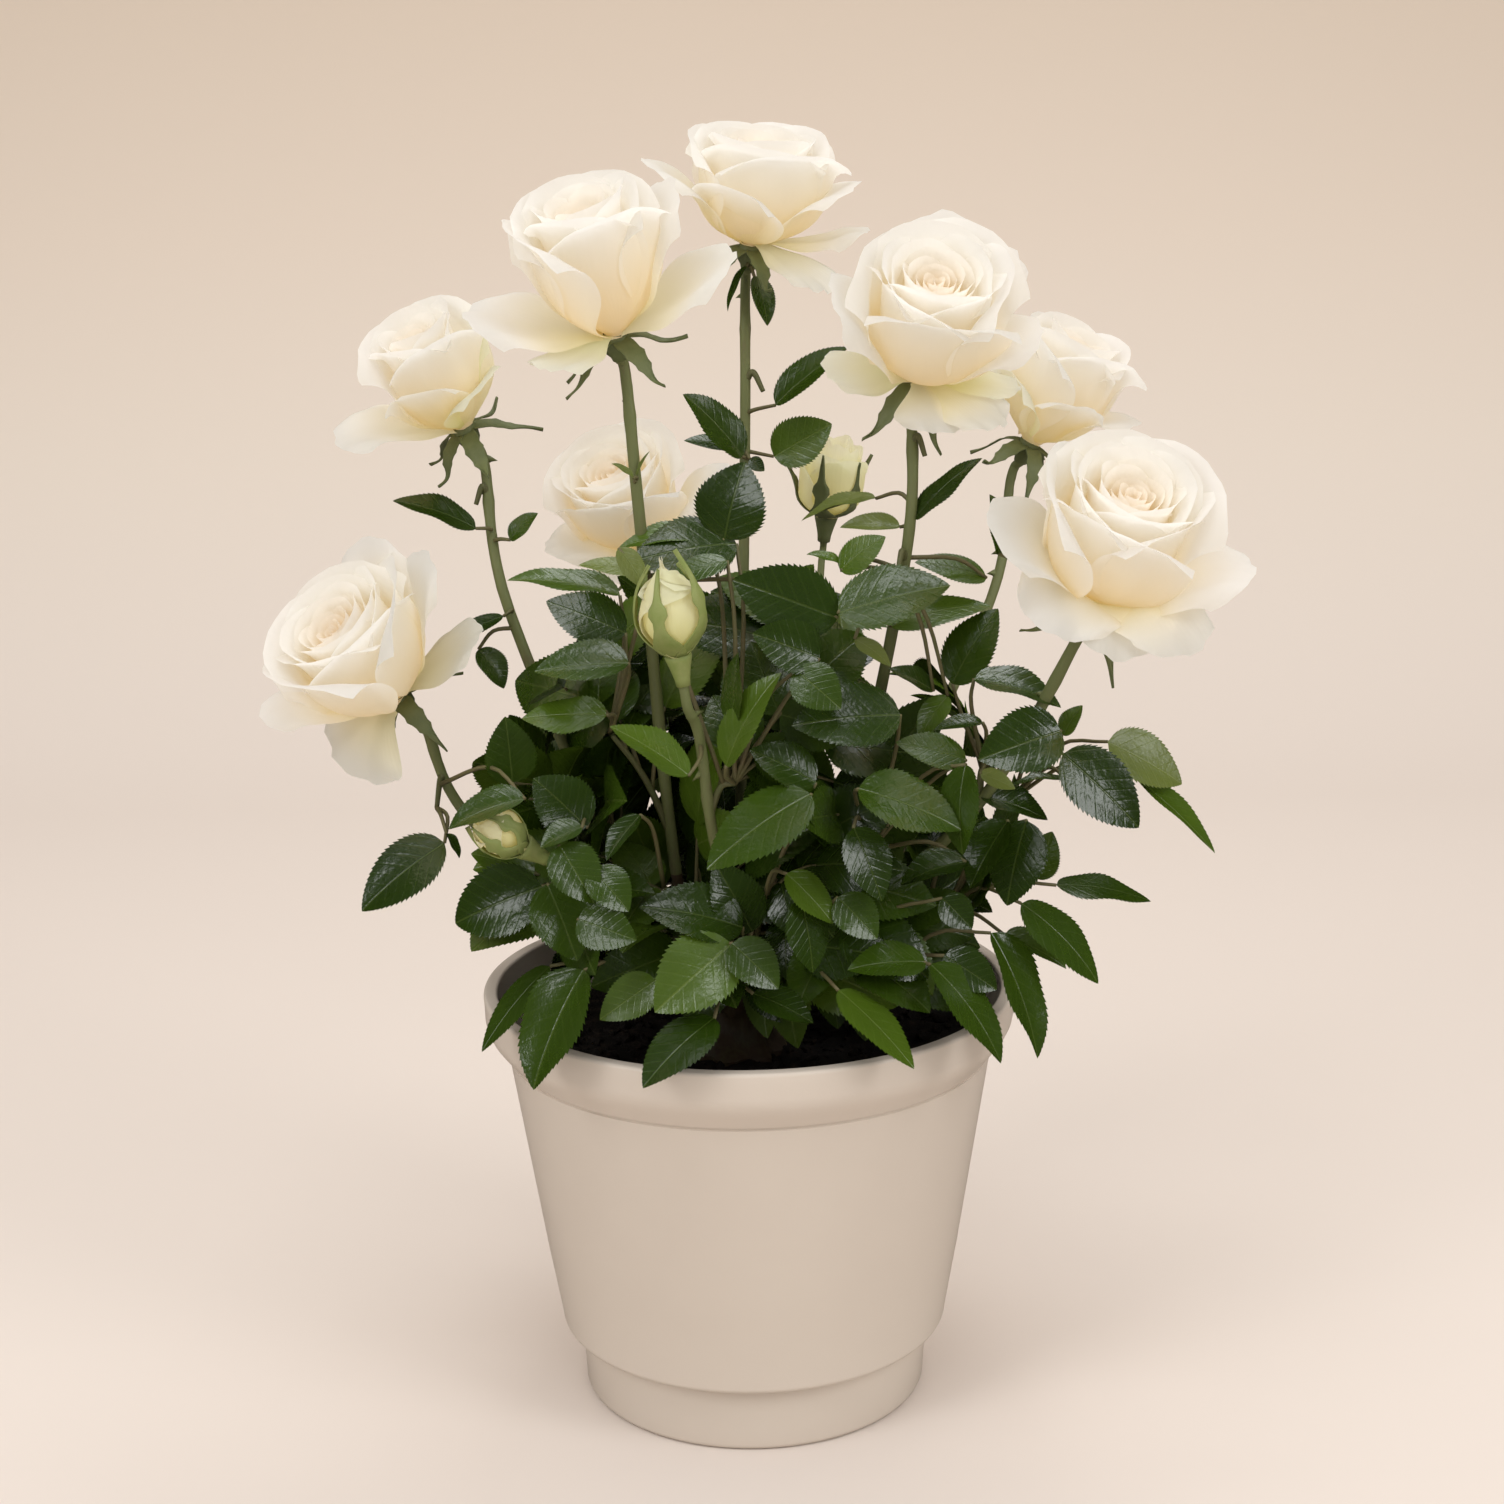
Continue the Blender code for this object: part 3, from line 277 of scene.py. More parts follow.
# Seen against the board the rest of the leaves stay below CROWN_TOP. CROWN_EDGE tells
# how far to each side they reach: heights, and the reach at each.
CROWN_TOP = 0.412
CROWN_EDGE = ((0.16, 0.22, 0.26, 0.30, 0.34, 0.38, 0.42, 0.60),
              (0.150, 0.120, 0.130, 0.128, 0.108, 0.080, 0.045, 0.040))

STEM_RADIUS = 0.0019
STEM_TAPER = 0.0008
STEM_BOW = 0.006
STALK_RADIUS = 0.0009
STALK_LENGTH = 0.060
STALK_PIECES = 6
LAST_LEAF = 0.060  # from the stem's end to the tip of its last leaf
LEAFLET_LENGTH = 0.043
LEAFLET_SHAPE = 0.70  # its width against its length
LEAFLET_PAIRS = ((0.72, 0.90), (0.36, 0.76))  # each one's share along the stalk, and its size
LOWEST_LEAF = 0.165
YOUNG_ABOVE = 0.40
BACK_FROM = 0.045
LEAF_CLEAR = 0.010
ATTEMPTS = 12


# ---- painting --------------------------------------------------------------


class Value:
    """A socket in a material. Arithmetic on it adds Math nodes."""

    def __init__(self, paint, socket):
        self.paint = paint
        self.socket = socket

    def maths(self, operation, first, second=0.0):
        return self.paint.node("ShaderNodeMath", {"operation": operation}, {0: first, 1: second})

    def __add__(self, other):
        return self.maths("ADD", self, other)

    __radd__ = __add__

    def __sub__(self, other):
        return self.maths("SUBTRACT", self, other)

    def __rsub__(self, other):
        return self.maths("SUBTRACT", other, self)

    def __mul__(self, other):
        return self.maths("MULTIPLY", self, other)

    def __pow__(self, other):
        return self.maths("POWER", self, other)

    def __abs__(self):
        return self.maths("ABSOLUTE", self)

    def wave(self):
        return self.maths("COSINE", self)

    def most(self, other):
        return self.maths("MAXIMUM", self, other)


class Paint:
    """A material on a Principled shader, with constants set on its own sockets."""

    def __init__(self, name, **constants):
        self.material = bpy.data.materials.new(name)
        self.material.use_nodes = True
        self.nodes = self.material.node_tree.nodes
        self.links = self.material.node_tree.links
        self.shader = self.nodes["Principled BSDF"]
        for key, value in constants.items():
            self.put(key.replace("_", " "), value)

    def feed(self, socket, value):
        """Links a socket to a value, or sets it to a constant."""
        if isinstance(value, Value):
            self.links.new(value.socket, socket)
        else:
            socket.default_value = value

    def put(self, name, value):
        self.feed(self.shader.inputs[name], value)

    def node(self, kind, settings=None, sockets=None, output=0):
        """Any node: its settings first, then the values or links of its sockets."""
        made = self.nodes.new(kind)
        for key, value in (settings or {}).items():
            if key == "stops":
                ramp = made.color_ramp
                while len(ramp.elements) < len(value):
                    ramp.elements.new(0.5)
                for element, (position, colour) in zip(ramp.elements, value):
                    element.position = position
                    element.color = colour
            else:
                setattr(made, key, value)
        for key, value in (sockets or {}).items():
            self.feed(made.inputs[key], value)
        return Value(self, made.outputs[output])

    def place(self):
        return self.node("ShaderNodeTexCoord", output="Object")

    def stretched(self, scale):
        return self.node("ShaderNodeMapping", sockets={"Vector": self.place(), "Scale": scale})

    def chart(self):
        """The piece's own UV map, as its two values."""
        both = self.node("ShaderNodeTexCoord", output="UV")
        parts = self.node("ShaderNodeSeparateXYZ", sockets={0: both})
        return parts, Value(self, parts.socket.node.outputs[1])

    def mark(self, name):
        return self.node("ShaderNodeAttribute", {"attribute_name": name}, output="Fac")

    def noise(self, scale, detail=3.0, roughness=0.55, vector=None):
        return self.node("ShaderNodeTexNoise", sockets={
            "Vector": vector or self.place(), "Scale": scale, "Detail": detail, "Roughness": roughness})

    def ramp(self, value, stops):
        return self.node("ShaderNodeValToRGB", {"stops": stops}, {0: value})

    def between(self, value, low, high):
        """0 below low, 1 above high and smooth between them."""
        return self.node("ShaderNodeMapRange", {"interpolation_type": "SMOOTHSTEP"},
                         {"Value": value, "From Min": low, "From Max": high})

    def mix(self, share, first, second):
        return self.node("ShaderNodeMix", {"data_type": "RGBA"}, {0: share, 6: first, 7: second}, output=2)

    def bump(self, height, distance, strength=1.0):
        self.put("Normal", self.node("ShaderNodeBump", sockets={
            "Height": height, "Distance": distance, "Strength": strength}))

    def let_light_through(self, share, colour):
        """Mixes in a share of light that passes from the far side, as in a thin petal."""
        through = self.node("ShaderNodeBsdfTranslucent", sockets={"Color": colour})
        skin = Value(self, self.shader.outputs[0])
        both = self.node("ShaderNodeMixShader", sockets={0: share, 1: skin, 2: through})
        self.feed(self.nodes["Material Output"].inputs["Surface"], both)


def tone(red, green, blue):
    return (red, green, blue, 1.0)


def plastic_paint():
    """Satin beige plastic with a faint cloudiness, a fine grain and a few specks."""
    paint = Paint("satin_plastic", Specular_IOR_Level=0.42)
    cloud = paint.noise(9.0, 4.0)
    colour = paint.mix(cloud, tone(0.632, 0.550, 0.472), tone(0.686, 0.607, 0.523))
    speck = paint.node("ShaderNodeTexVoronoi", sockets={"Vector": paint.place(), "Scale": 46.0})
    rare = paint.between(paint.noise(31.0, 1.0), 0.60, 0.66)
    spot = (1 - paint.between(speck, 0.030, 0.055)) * rare
    paint.put("Base Color", paint.mix(spot * 0.75, colour, tone(0.13, 0.085, 0.05)))
    paint.put("Roughness", 0.36 + paint.noise(22.0, 5.0) * 0.16)
    paint.bump(paint.noise(620.0, 2.0) * 0.4 + paint.noise(60.0, 2.0) * 0.6, 0.00012, 0.6)
    return paint.material


def compost_paint():
    paint = Paint("moist_compost", Specular_IOR_Level=0.30)
    grain = paint.noise(140.0, 8.0, 0.7)
    browns = [(0.30, tone(0.004, 0.003, 0.0025)), (0.55, tone(0.016, 0.011, 0.008)),
              (0.75, tone(0.055, 0.034, 0.020))]
    paint.put("Base Color", paint.ramp(grain, browns))
    paint.put("Roughness", 0.72 + grain * 0.2)
    paint.bump(paint.noise(330.0, 6.0, 0.7), 0.0012)
    return paint.material


def bark_paint(name, green, brown, amount):
    """Smooth rose bark: green with brown streaks that run along it."""
    paint = Paint(name, Specular_IOR_Level=0.45)
    streaks = paint.noise(1.0, 5.0, 0.6, paint.stretched((420.0, 420.0, 60.0)))
    blotches = paint.noise(38.0, 3.0)
    share = paint.between(streaks * 0.4 + blotches * 0.6, 0.62 - amount, 0.86 - amount)
    paint.put("Base Color", paint.mix(share, green, brown))
    paint.put("Roughness", 0.42 + streaks * 0.22)
    paint.bump(streaks * 0.6 + paint.noise(700.0, 3.0) * 0.4, 0.00025)
    return paint.material


def petal_paint():
    """Cream petals that let light through, with a faint painted glow; peach at the heart and yellow towards
    the claw, both partly their own tint and partly painted warm shade in the cup.
    """
    paint = Paint("rose_petal", Specular_IOR_Level=0.28)
    across, along = paint.chart()
    mottle = paint.noise(45.0, 3.0)
    cream = paint.mix(mottle, tone(0.872, 0.884, 0.890), tone(0.888, 0.900, 0.915))
    # Yellow towards the claw is partly the petal's own colour and partly painted warm shade deep in the
    # cup. It runs right up to the lip, so the rims stand lighter as a painted edge highlight.
    deep = paint.mix((1 - paint.between(along, 0.25, 0.98)) * 0.82, cream, tone(0.935, 0.868, 0.690))
    # Peach at the heart is partly the heart's own tint and partly painted warm shade where the inner petals
    # lie deep in the cup.
    warm = paint.mix(paint.mark("warmth"), deep, tone(0.955, 0.745, 0.480))
    fresh = paint.mix(paint.mark("fresh"), warm, tone(0.740, 0.800, 0.410))
    paint.put("Base Color", fresh)
    spread = (across - 0.5) * (1.25 - along * 0.5)
    vein = (spread * 150.0 + paint.noise(40.0, 2.0) * 3.0).wave()
    paint.put("Roughness", 0.50 + mottle * 0.15)
    paint.bump(vein * 0.25 + paint.noise(130.0, 2.0), 0.00018, 0.5)
    # Painted light: a faint warm glow of the petals' own. It stands in for the light scattered within them
    # and lifts their shade, though a petal is no lamp.
    paint.put("Emission Color", tone(1.0, 0.70, 0.28))
    paint.put("Emission Strength", 0.165)
    paint.let_light_through(0.58, paint.mix(0.25, fresh, tone(0.93, 0.90, 0.84)))
    return paint.material


def leaf_paint(name, blade, rib, gloss):
    """A glossy leaf: faintly puckered between fine veins, with a thin pale rib."""
    paint = Paint(name, Specular_IOR_Level=0.72)
    across, along = paint.chart()
    out = abs(across * 2.0 - 1.0)
    slant = along - out * 0.30 + paint.noise(50.0, 2.0) * 0.05
    vein = ((slant * 7.5 * 2 * math.pi).wave() * 0.5 + 0.5) ** 14.0
    middle = 1 - paint.between(out, 0.010, 0.045)
    mottle = paint.noise(34.0, 3.0)
    patch = paint.mix(mottle, blade, tuple(0.62 * c for c in blade[:3]) + (1.0,))
    paint.put("Base Color", paint.mix((vein * 0.09).most(middle * 0.45), patch, rib))
    paint.put("Roughness", gloss + mottle * 0.12)
    pucker = paint.noise(420.0, 2.0) * 0.75 + paint.noise(90.0, 2.0) * 0.75
    paint.bump(0 - vein * 0.16 - middle * 0.50 + pucker, 0.00055, 0.6)
    return paint.material


def green_paint(name, body, edge):
    paint = Paint(name, Specular_IOR_Level=0.40)
    patch = paint.noise(160.0, 3.0)
    paint.put("Base Color", paint.mix(patch, body, edge))
    paint.put("Roughness", 0.45 + patch * 0.15)
    paint.bump(paint.noise(600.0, 3.0), 0.0002)
    return paint.material


# ---- gathering small shapes ------------------------------------------------


class Heap:
    """Points and faces of many small shapes, gathered into one mesh."""

    def __init__(self):
        self.points, self.faces, self.charts = [], [], []
        self.tints, self.marks = [], {}
        self.count = 0

    def add(self, points, faces, chart=None, tint=0, **marks):
        points = np.asarray(points, float).reshape(-1, 3)
        size = len(points)
        self.points.append(points)
        self.faces.extend([tuple(i + self.count for i in face) for face in faces])
        self.tints.extend([tint] * len(faces))
        self.charts.append(np.zeros((size, 2)) if chart is None else np.asarray(chart, float))
        for name, value in marks.items():
            self.marks.setdefault(name, []).append(np.broadcast_to(np.asarray(value, float).ravel(), size))
        self.count += size

    def build(self, name, materials):
        mesh = bpy.data.meshes.new(name)
        points = np.concatenate(self.points)
        mesh.from_pydata(points.tolist(), [], self.faces)
        chart = np.concatenate(self.charts)
        corners = np.empty(len(mesh.loops), int)
        mesh.loops.foreach_get("vertex_index", corners)
        mesh.uv_layers.new(name="chart").data.foreach_set("uv", chart[corners].ravel())
        for mark, parts in self.marks.items():
            values = np.concatenate(parts).astype(np.float32)
            mesh.attributes.new(mark, "FLOAT", "POINT").data.foreach_set("value", values)
        for material in materials:
            mesh.materials.append(material)
        mesh.polygons.foreach_set("material_index", np.array(self.tints, np.int32))
        mesh.shade_smooth()
        item = bpy.data.objects.new(name, mesh)
        bpy.context.scene.collection.objects.link(item)
        return item


def mesh_parts(mesh):
    return np.array([v.co for v in mesh.vertices]), [tuple(p.vertices) for p in mesh.polygons]


def swung(side, other, angle):
    """A direction between two that are square to each other, by its angle from the first."""
    return side * math.cos(angle) + other * math.sin(angle)


def ball(points):
    """The middle of some points, and how far from it they reach."""
    middle = points.mean(0)
    return middle, float(np.linalg.norm(points - middle, axis=1).max())


def alone(item):
    """Leaves just this object selected and active."""
    for other in bpy.context.selected_objects:
        other.select_set(False)
    item.select_set(True)
    bpy.context.view_layer.objects.active = item


def with_modifier(item, kind, **settings):
    """Adds a modifier and applies it at once."""
    alone(item)
    added = item.modifiers.new(kind.lower(), kind)
    for key, value in settings.items():
        setattr(added, key, value)
    bpy.ops.object.modifier_apply(modifier=added.name)


def dress(item, slot, *nodes):
    """The piece stands for some solids, which it hides, and rides with the plant; its slot is not used."""
    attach(item, "root")
    if nodes:
        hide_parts(*nodes)


def arc(centre, radius, start, end, pieces):
    """Points on an arc in an outline's plane, by angles in degrees."""
    angles = np.radians(np.linspace(start, end, pieces + 1))
    return [(centre[0] + radius * math.cos(a), centre[1] + radius * math.sin(a)) for a in angles]


def turned(name, outline, steps):
    """A ring is drawn and carried along an outline of (radius, height) by extrusion."""
    bpy.ops.object.select_all(action="DESELECT")
    radius, height = outline[0]
    bpy.ops.mesh.primitive_circle_add(vertices=steps, radius=radius, location=(0, 0, height))
    item = bpy.context.object
    bpy.ops.object.transform_apply(location=True, rotation=True, scale=True)
    bpy.ops.object.mode_set(mode="EDIT")
    bpy.ops.mesh.select_all(action="SELECT")
    for new_radius, new_height in outline[1:]:
        bpy.ops.mesh.extrude_edges_move(TRANSFORM_OT_translate={"value": (0, 0, new_height - height)})
        ratio = new_radius / radius
        bpy.ops.transform.resize(value=(ratio, ratio, 1))
        radius, height = new_radius, new_height
    bpy.ops.mesh.select_all(action="SELECT")
    bpy.ops.mesh.fill_holes(sides=0)
    bpy.ops.mesh.normals_make_consistent(inside=False)
    bpy.ops.object.mode_set(mode="OBJECT")
    bpy.ops.object.shade_smooth_by_angle(angle=SHARP_FROM)
    item.name = item.data.name = name
    return item


# ---- pot and compost -------------------------------------------------------


def pot_outline():
    """Outside up from the underside, over the lip, and down the inside to the floor."""
    taper = (GROOVE_RADIUS - STEP_RADIUS) / (GROOVE_HEIGHT - STEP_HEIGHT)
    line = arc((FOOT_RADIUS - EDGE_ROUND, EDGE_ROUND), EDGE_ROUND, -90, 0, 5)
    line += [(FOOT_TOP_RADIUS, STEP_HEIGHT - 0.0024), (FOOT_TOP_RADIUS - 0.0004, STEP_HEIGHT - 0.0014)]
    line += [(FOOT_TOP_RADIUS - 0.0016, STEP_HEIGHT - 0.0010), (FOOT_TOP_RADIUS - 0.0018, STEP_HEIGHT)]
    line += arc((STEP_RADIUS - EDGE_ROUND, STEP_HEIGHT + EDGE_ROUND), EDGE_ROUND, -84, 8, 6)
    groove = GROOVE_HEIGHT - GROOVE_SIZE
    for share in (0.25, 0.5, 0.75, 1.0):
        height = STEP_HEIGHT + 2 * EDGE_ROUND + (groove - STEP_HEIGHT - 2 * EDGE_ROUND) * share
        line.append((STEP_RADIUS + (height - STEP_HEIGHT) * taper, height))
    line += [(GROOVE_RADIUS - GROOVE_SIZE * 1.1, GROOVE_HEIGHT - GROOVE_SIZE * 0.4)]
    line += [(GROOVE_RADIUS - GROOVE_SIZE * 1.1, GROOVE_HEIGHT + GROOVE_SIZE * 0.4)]
    line += [(GROOVE_RADIUS + GROOVE_SIZE * 0.6, GROOVE_HEIGHT + GROOVE_SIZE)]
    flare = RIM_RADIUS - GROOVE_RADIUS - GROOVE_SIZE
    rise = RIM_HEIGHT - LIP_DEPTH - GROOVE_HEIGHT - GROOVE_SIZE
    for share in (0.2, 0.4, 0.6, 0.8, 1.0):
        line.append((GROOVE_RADIUS + GROOVE_SIZE + flare * math.sin(share * math.pi / 2) ** 1.25 * 0.955,
                     GROOVE_HEIGHT + GROOVE_SIZE + rise * share))
    line.append((RIM_RADIUS - 0.0003, RIM_HEIGHT - LIP_DEPTH * 0.5))
    line += arc((RIM_RADIUS - 0.0017, RIM_HEIGHT - 0.0017), 0.0017, 0, 90, 5)
    line += arc((RIM_RADIUS - LIP_WIDTH + 0.0014, RIM_HEIGHT - 0.0014), 0.0014, 90, 180, 4)
    line += [(RIM_RADIUS - LIP_WIDTH - 0.0004, RIM_HEIGHT - LIP_DEPTH)]
    line += [(GROOVE_RADIUS - WALL, GROOVE_HEIGHT), (STEP_RADIUS - WALL, STEP_HEIGHT + 1.4 * WALL)]
    line += [(FOOT_TOP_RADIUS - 1.6 * WALL, STEP_HEIGHT), (FOOT_RADIUS - 1.4 * WALL, WALL)]
    return line


def make_pot():
    pot = turned("pot_shell", pot_outline(), POT_STEPS)
    pot.data.materials.append(plastic_paint())
    dress(pot, "pot", "pot")


def compost_surface(x, y):
    """Height of the loose compost at a place."""
    out = math.hypot(x, y) / (GROOVE_RADIUS - WALL)
    mound = COMPOST_HEIGHT + COMPOST_CROWN * (1 - out**2)
    lumps = noise.fractal(Vector((x, y, 0)) * 60, 0.6, 2.0, 4)
    return mound + 0.0022 * lumps - 0.0012


def make_compost():
    """A crumbly bed: a disc of rings, lumpy on top, with loose crumbs on it."""
    wall = GROOVE_RADIUS - WALL - 0.0006
    rings = [(wall - 0.004, COMPOST_HEIGHT - 0.03), (wall - 0.0008, COMPOST_HEIGHT - 0.006)]
    rings += [(wall * (1 - i / 34), COMPOST_HEIGHT) for i in range(1, 34)]
    bed = turned("compost_bed", rings, 120)
    for vert in bed.data.vertices:
        if vert.co.z > COMPOST_HEIGHT - 0.001:
            vert.co.z = compost_surface(vert.co.x, vert.co.y)
    bed.data.shade_smooth()
    paint = compost_paint()
    bed.data.materials.append(paint)
    dress(bed, "compost", "compost")

    bpy.ops.object.select_all(action="DESELECT")
    bpy.ops.mesh.primitive_ico_sphere_add(subdivisions=1, radius=1)
    pebble = bpy.context.object
    shape, faces = mesh_parts(pebble.data)
    bpy.data.objects.remove(pebble, do_unlink=True)
    rng = random.Random("crumbs")
    crumbs = Heap()
    for _ in range(CRUMBS):
        out, bearing = (wall - 0.004) * math.sqrt(rng.random()), rng.uniform(0, 2 * math.pi)
        x, y = out * math.cos(bearing), out * math.sin(bearing)
        size = 0.0008 + 0.0026 * rng.random() ** 3
        flat = np.array([rng.uniform(0.7, 1.7), rng.uniform(0.7, 1.3), rng.uniform(0.4, 0.9)])
        rough = np.array([[rng.uniform(0.7, 1.2)] for _ in shape])
        spin = Matrix.Rotation(rng.uniform(0, 6.28), 3, "Z") @ Matrix.Rotation(rng.uniform(-1, 1), 3, "X")
        place = (x, y, compost_surface(x, y) + size * 0.3)
        crumbs.add((shape * rough * flat * size) @ np.array(spin).T + place, faces)
    item = crumbs.build("compost_crumbs", [paint])
    item.data.shade_flat()
    dress(item, "compost")


# ---- limbs -----------------------------------------------------------------


def ring_faces(rings, sides):
    """Faces of a closed body made of rings of points, from its foot to its top."""
    faces = [tuple(reversed(range(sides)))]
    for i in range(rings - 1):
        for k in range(sides):
            a, b = i * sides + k, i * sides + (k + 1) % sides
            faces.append((a, b, b + sides, a + sides))
    faces.append(tuple(range((rings - 1) * sides, rings * sides)))
    return faces


def tube(path, radii, sides, relief=0.0):
    """Points and faces of a tapering tube, with a lumpy relief when asked."""
    points = []
    side = None
    for i, (place, radius) in enumerate(zip(path, radii)):
        tangent = (path[min(i + 1, len(path) - 1)] - path[max(i - 1, 0)]).normalized()
        side = tangent.orthogonal() if side is None else side - tangent * side.dot(tangent)
        side.normalize()
        other = tangent.cross(side)
        for k in range(sides):
            spot = swung(side, other, 2 * math.pi * k / sides)
            size = radius
            if relief:
                size *= 1 + relief * noise.fractal((place + spot * radius) * 260, 0.6, 2.0, 3)
            points.append(place + spot * size)
    return [tuple(p) for p in points], ring_faces(len(path), sides)


def smooth_path(places, pieces):
    """A Catmull-Rom curve through some places, as evenly divided pieces."""
    ends = [places[0] * 2 - places[1], *places, places[-1] * 2 - places[-2]]
    path = []
    for i in range(1, len(ends) - 2):
        p0, p1, p2, p3 = ends[i - 1 : i + 3]
        for k in range(pieces):
            t = k / pieces
            path.append(0.5 * (2 * p1 + (p2 - p0) * t + (2 * p0 - 5 * p1 + 4 * p2 - p3) * t**2
                               + (3 * p1 - p0 - 3 * p2 + p3) * t**3))
    path.append(places[-1].copy())
    return path


def direction(bearing, pitch):
    """Which way a bearing from +X and a pitch point, both in degrees."""
    bearing, pitch = math.radians(bearing), math.radians(pitch)
    level = Vector((math.cos(bearing), math.sin(bearing), 0)) * math.cos(pitch)
    return level + UP * math.sin(pitch)


def burl_centre():
    return BURL_FOOT + Vector((BURL_LEAN, 0, BURL_RISE))


def place_on(limb, share):
    """The point, tangent and radius a share of the way up a limb."""
    path, radii = limb
    at = share * (len(path) - 1)
    i = min(int(at), len(path) - 2)
    place = path[i].lerp(path[i + 1], at - i)
    return place, (path[i + 1] - path[i]).normalized(), radii[i] + (radii[i + 1] - radii[i]) * (at - i)


def start_of(limbs, parent, where, towards):
    """Where a shoot starts, sunk a little in its parent, and its first direction."""
    if parent == "burl":
        heading = direction(*where)
        return burl_centre() + heading * BURL_RADIUS * 0.8, heading
    place, _, _ = place_on(limbs[parent], where)
    heading = (towards - place).normalized()
    return place, heading


def add_thorn(heap, place, outward, tangent, size):
    """A small hooked thorn: a flat cone that leans down the cane."""
    tip = place + outward * size - tangent * size * 0.55
    side = outward.cross(tangent).normalized()
    foot = place - outward * size * 0.3
    ring = [foot + tangent * size * 0.62, foot + side * size * 0.22,
            foot - tangent * size * 0.62, foot - side * size * 0.22]
    waist = [p.lerp(tip, 0.45) + tangent * size * 0.10 for p in ring]
    points = [tuple(p) for p in (*ring, *waist, tip)]
    faces = [(k, (k + 1) % 4, (k + 1) % 4 + 4, k + 4) for k in range(4)]
    faces += [(k + 4, (k + 1) % 4 + 4, 8) for k in range(4)]
    heap.add(points, faces)


def make_canes():
    """Every cane with its bark's relief, slightly swollen nodes and a few thorns."""
    bark = bark_paint("green_bark", tone(0.150, 0.168, 0.060), tone(0.150, 0.110, 0.058), 0.10)
    old = bark_paint("woody_bark", tone(0.085, 0.090, 0.034), tone(0.070, 0.042, 0.022), 0.24)
    limbs = {}
    for name, (parent, where, vias, foot, tip) in CANES.items():
        passed = [Vector(v) for v in vias]
        start, heading = start_of(limbs, parent, where, passed[0])
        flower = FLOWERS[name.replace("cane_bud", "bud").replace("cane", "bloom")]
        calyx, facing = Vector(flower[0]), Vector(flower[1]).normalized()
        end = calyx - facing * HIP_LENGTH
        reach = (passed[0] - start).length
        leaving = start + heading * reach * CANE_SETTING_OFF
        path = smooth_path([start, leaving, *passed, end - facing * CANE_NECK, end], CANE_PIECES)
        last = len(path) - 1
        radii = []
        for i in range(last + 1):
            swell = NODE_SWELL * max(0.0, math.cos(i * 2 * math.pi / NODE_SPACING)) ** 12
            radii.append((foot + (tip - foot) * (i / last) ** 0.6) * (CANE_ROUND + swell))
        limbs[name] = (path, radii)
        heap = Heap()
        points, faces = tube(path, radii, CANE_SIDES, BARK_RELIEF)
        heap.add(points, faces)
        heap.tints = [int(np.mean([points[i][2] for i in face]) < WOODY_BELOW) for face in faces]
        rng = random.Random(name)
        for _ in range(THORNS if parent == "burl" else 1):
            share = rng.uniform(0.12, 0.86)
            place, tangent, radius = place_on(limbs[name], share)
            side = tangent.orthogonal().normalized()
            outward = swung(side, tangent.cross(side), rng.uniform(0, 2 * math.pi))
            add_thorn(heap, place + outward * radius, outward, tangent, rng.uniform(0.0022, 0.0042))
        dress(heap.build(name + "_bark", [bark, old]), "cane", name)
    return limbs


def make_burl():
    """The short stem: a flared, knobbly foot and the burl where the canes leave."""
    outline = [(0.0245, -0.004), (0.0235, 0.000), (0.0195, 0.003), (0.0150, 0.007), (0.0132, 0.011)]
    outline += arc((0, BURL_RISE), BURL_RADIUS, -38, 80, 13)
    burl = turned("burl_bark", outline, 48)
    for vert in burl.data.vertices:
        height = vert.co.z
        lean = Vector((BURL_LEAN * min(max(height, 0) / BURL_RISE, 1), 0, 0))
        lump = 1 + 0.22 * noise.fractal(vert.co * 95, 0.6, 2.0, 4)
        vert.co = BURL_FOOT + lean + Vector((vert.co.x * lump, vert.co.y * lump, height))
    burl.data.shade_smooth()
    bark = bark_paint("burl_bark", tone(0.080, 0.070, 0.034), tone(0.060, 0.036, 0.020), 0.30)
    burl.data.materials.append(bark)
    dress(burl, "burl", "burl")


# ---- flowers ---------------------------------------------------------------

ROWS, COLUMNS = 18, 16
CROWDING = 0.86  # how much closer together its columns stand near its edges
LIP = 0.86  # where along a petal its lip starts to turn out
GUARD_FOOT = 0.0046
# How fast a petal leans out along its middle line, from its foot to its lip.
BELLY = np.interp(np.linspace(0, 1, 40), (0, 0.25, 0.5, 0.75, 1), (1.6, 1.25, 0.55, 0.12, 0.10))


def smooth(x):
    x = np.clip(x, 0, 1)
    return x * x * (3 - 2 * x)


def flower_frame(calyx, facing):
    """A matrix whose Z is the way the flower faces and whose -Y is its front."""
    axis = Vector(facing).normalized()
    front = (FRONT - axis * FRONT.dot(axis)).normalized()
    matrix = Matrix((axis.cross(front), -front, axis)).transposed().to_4x4()
    matrix.translation = Vector(calyx)
    return matrix


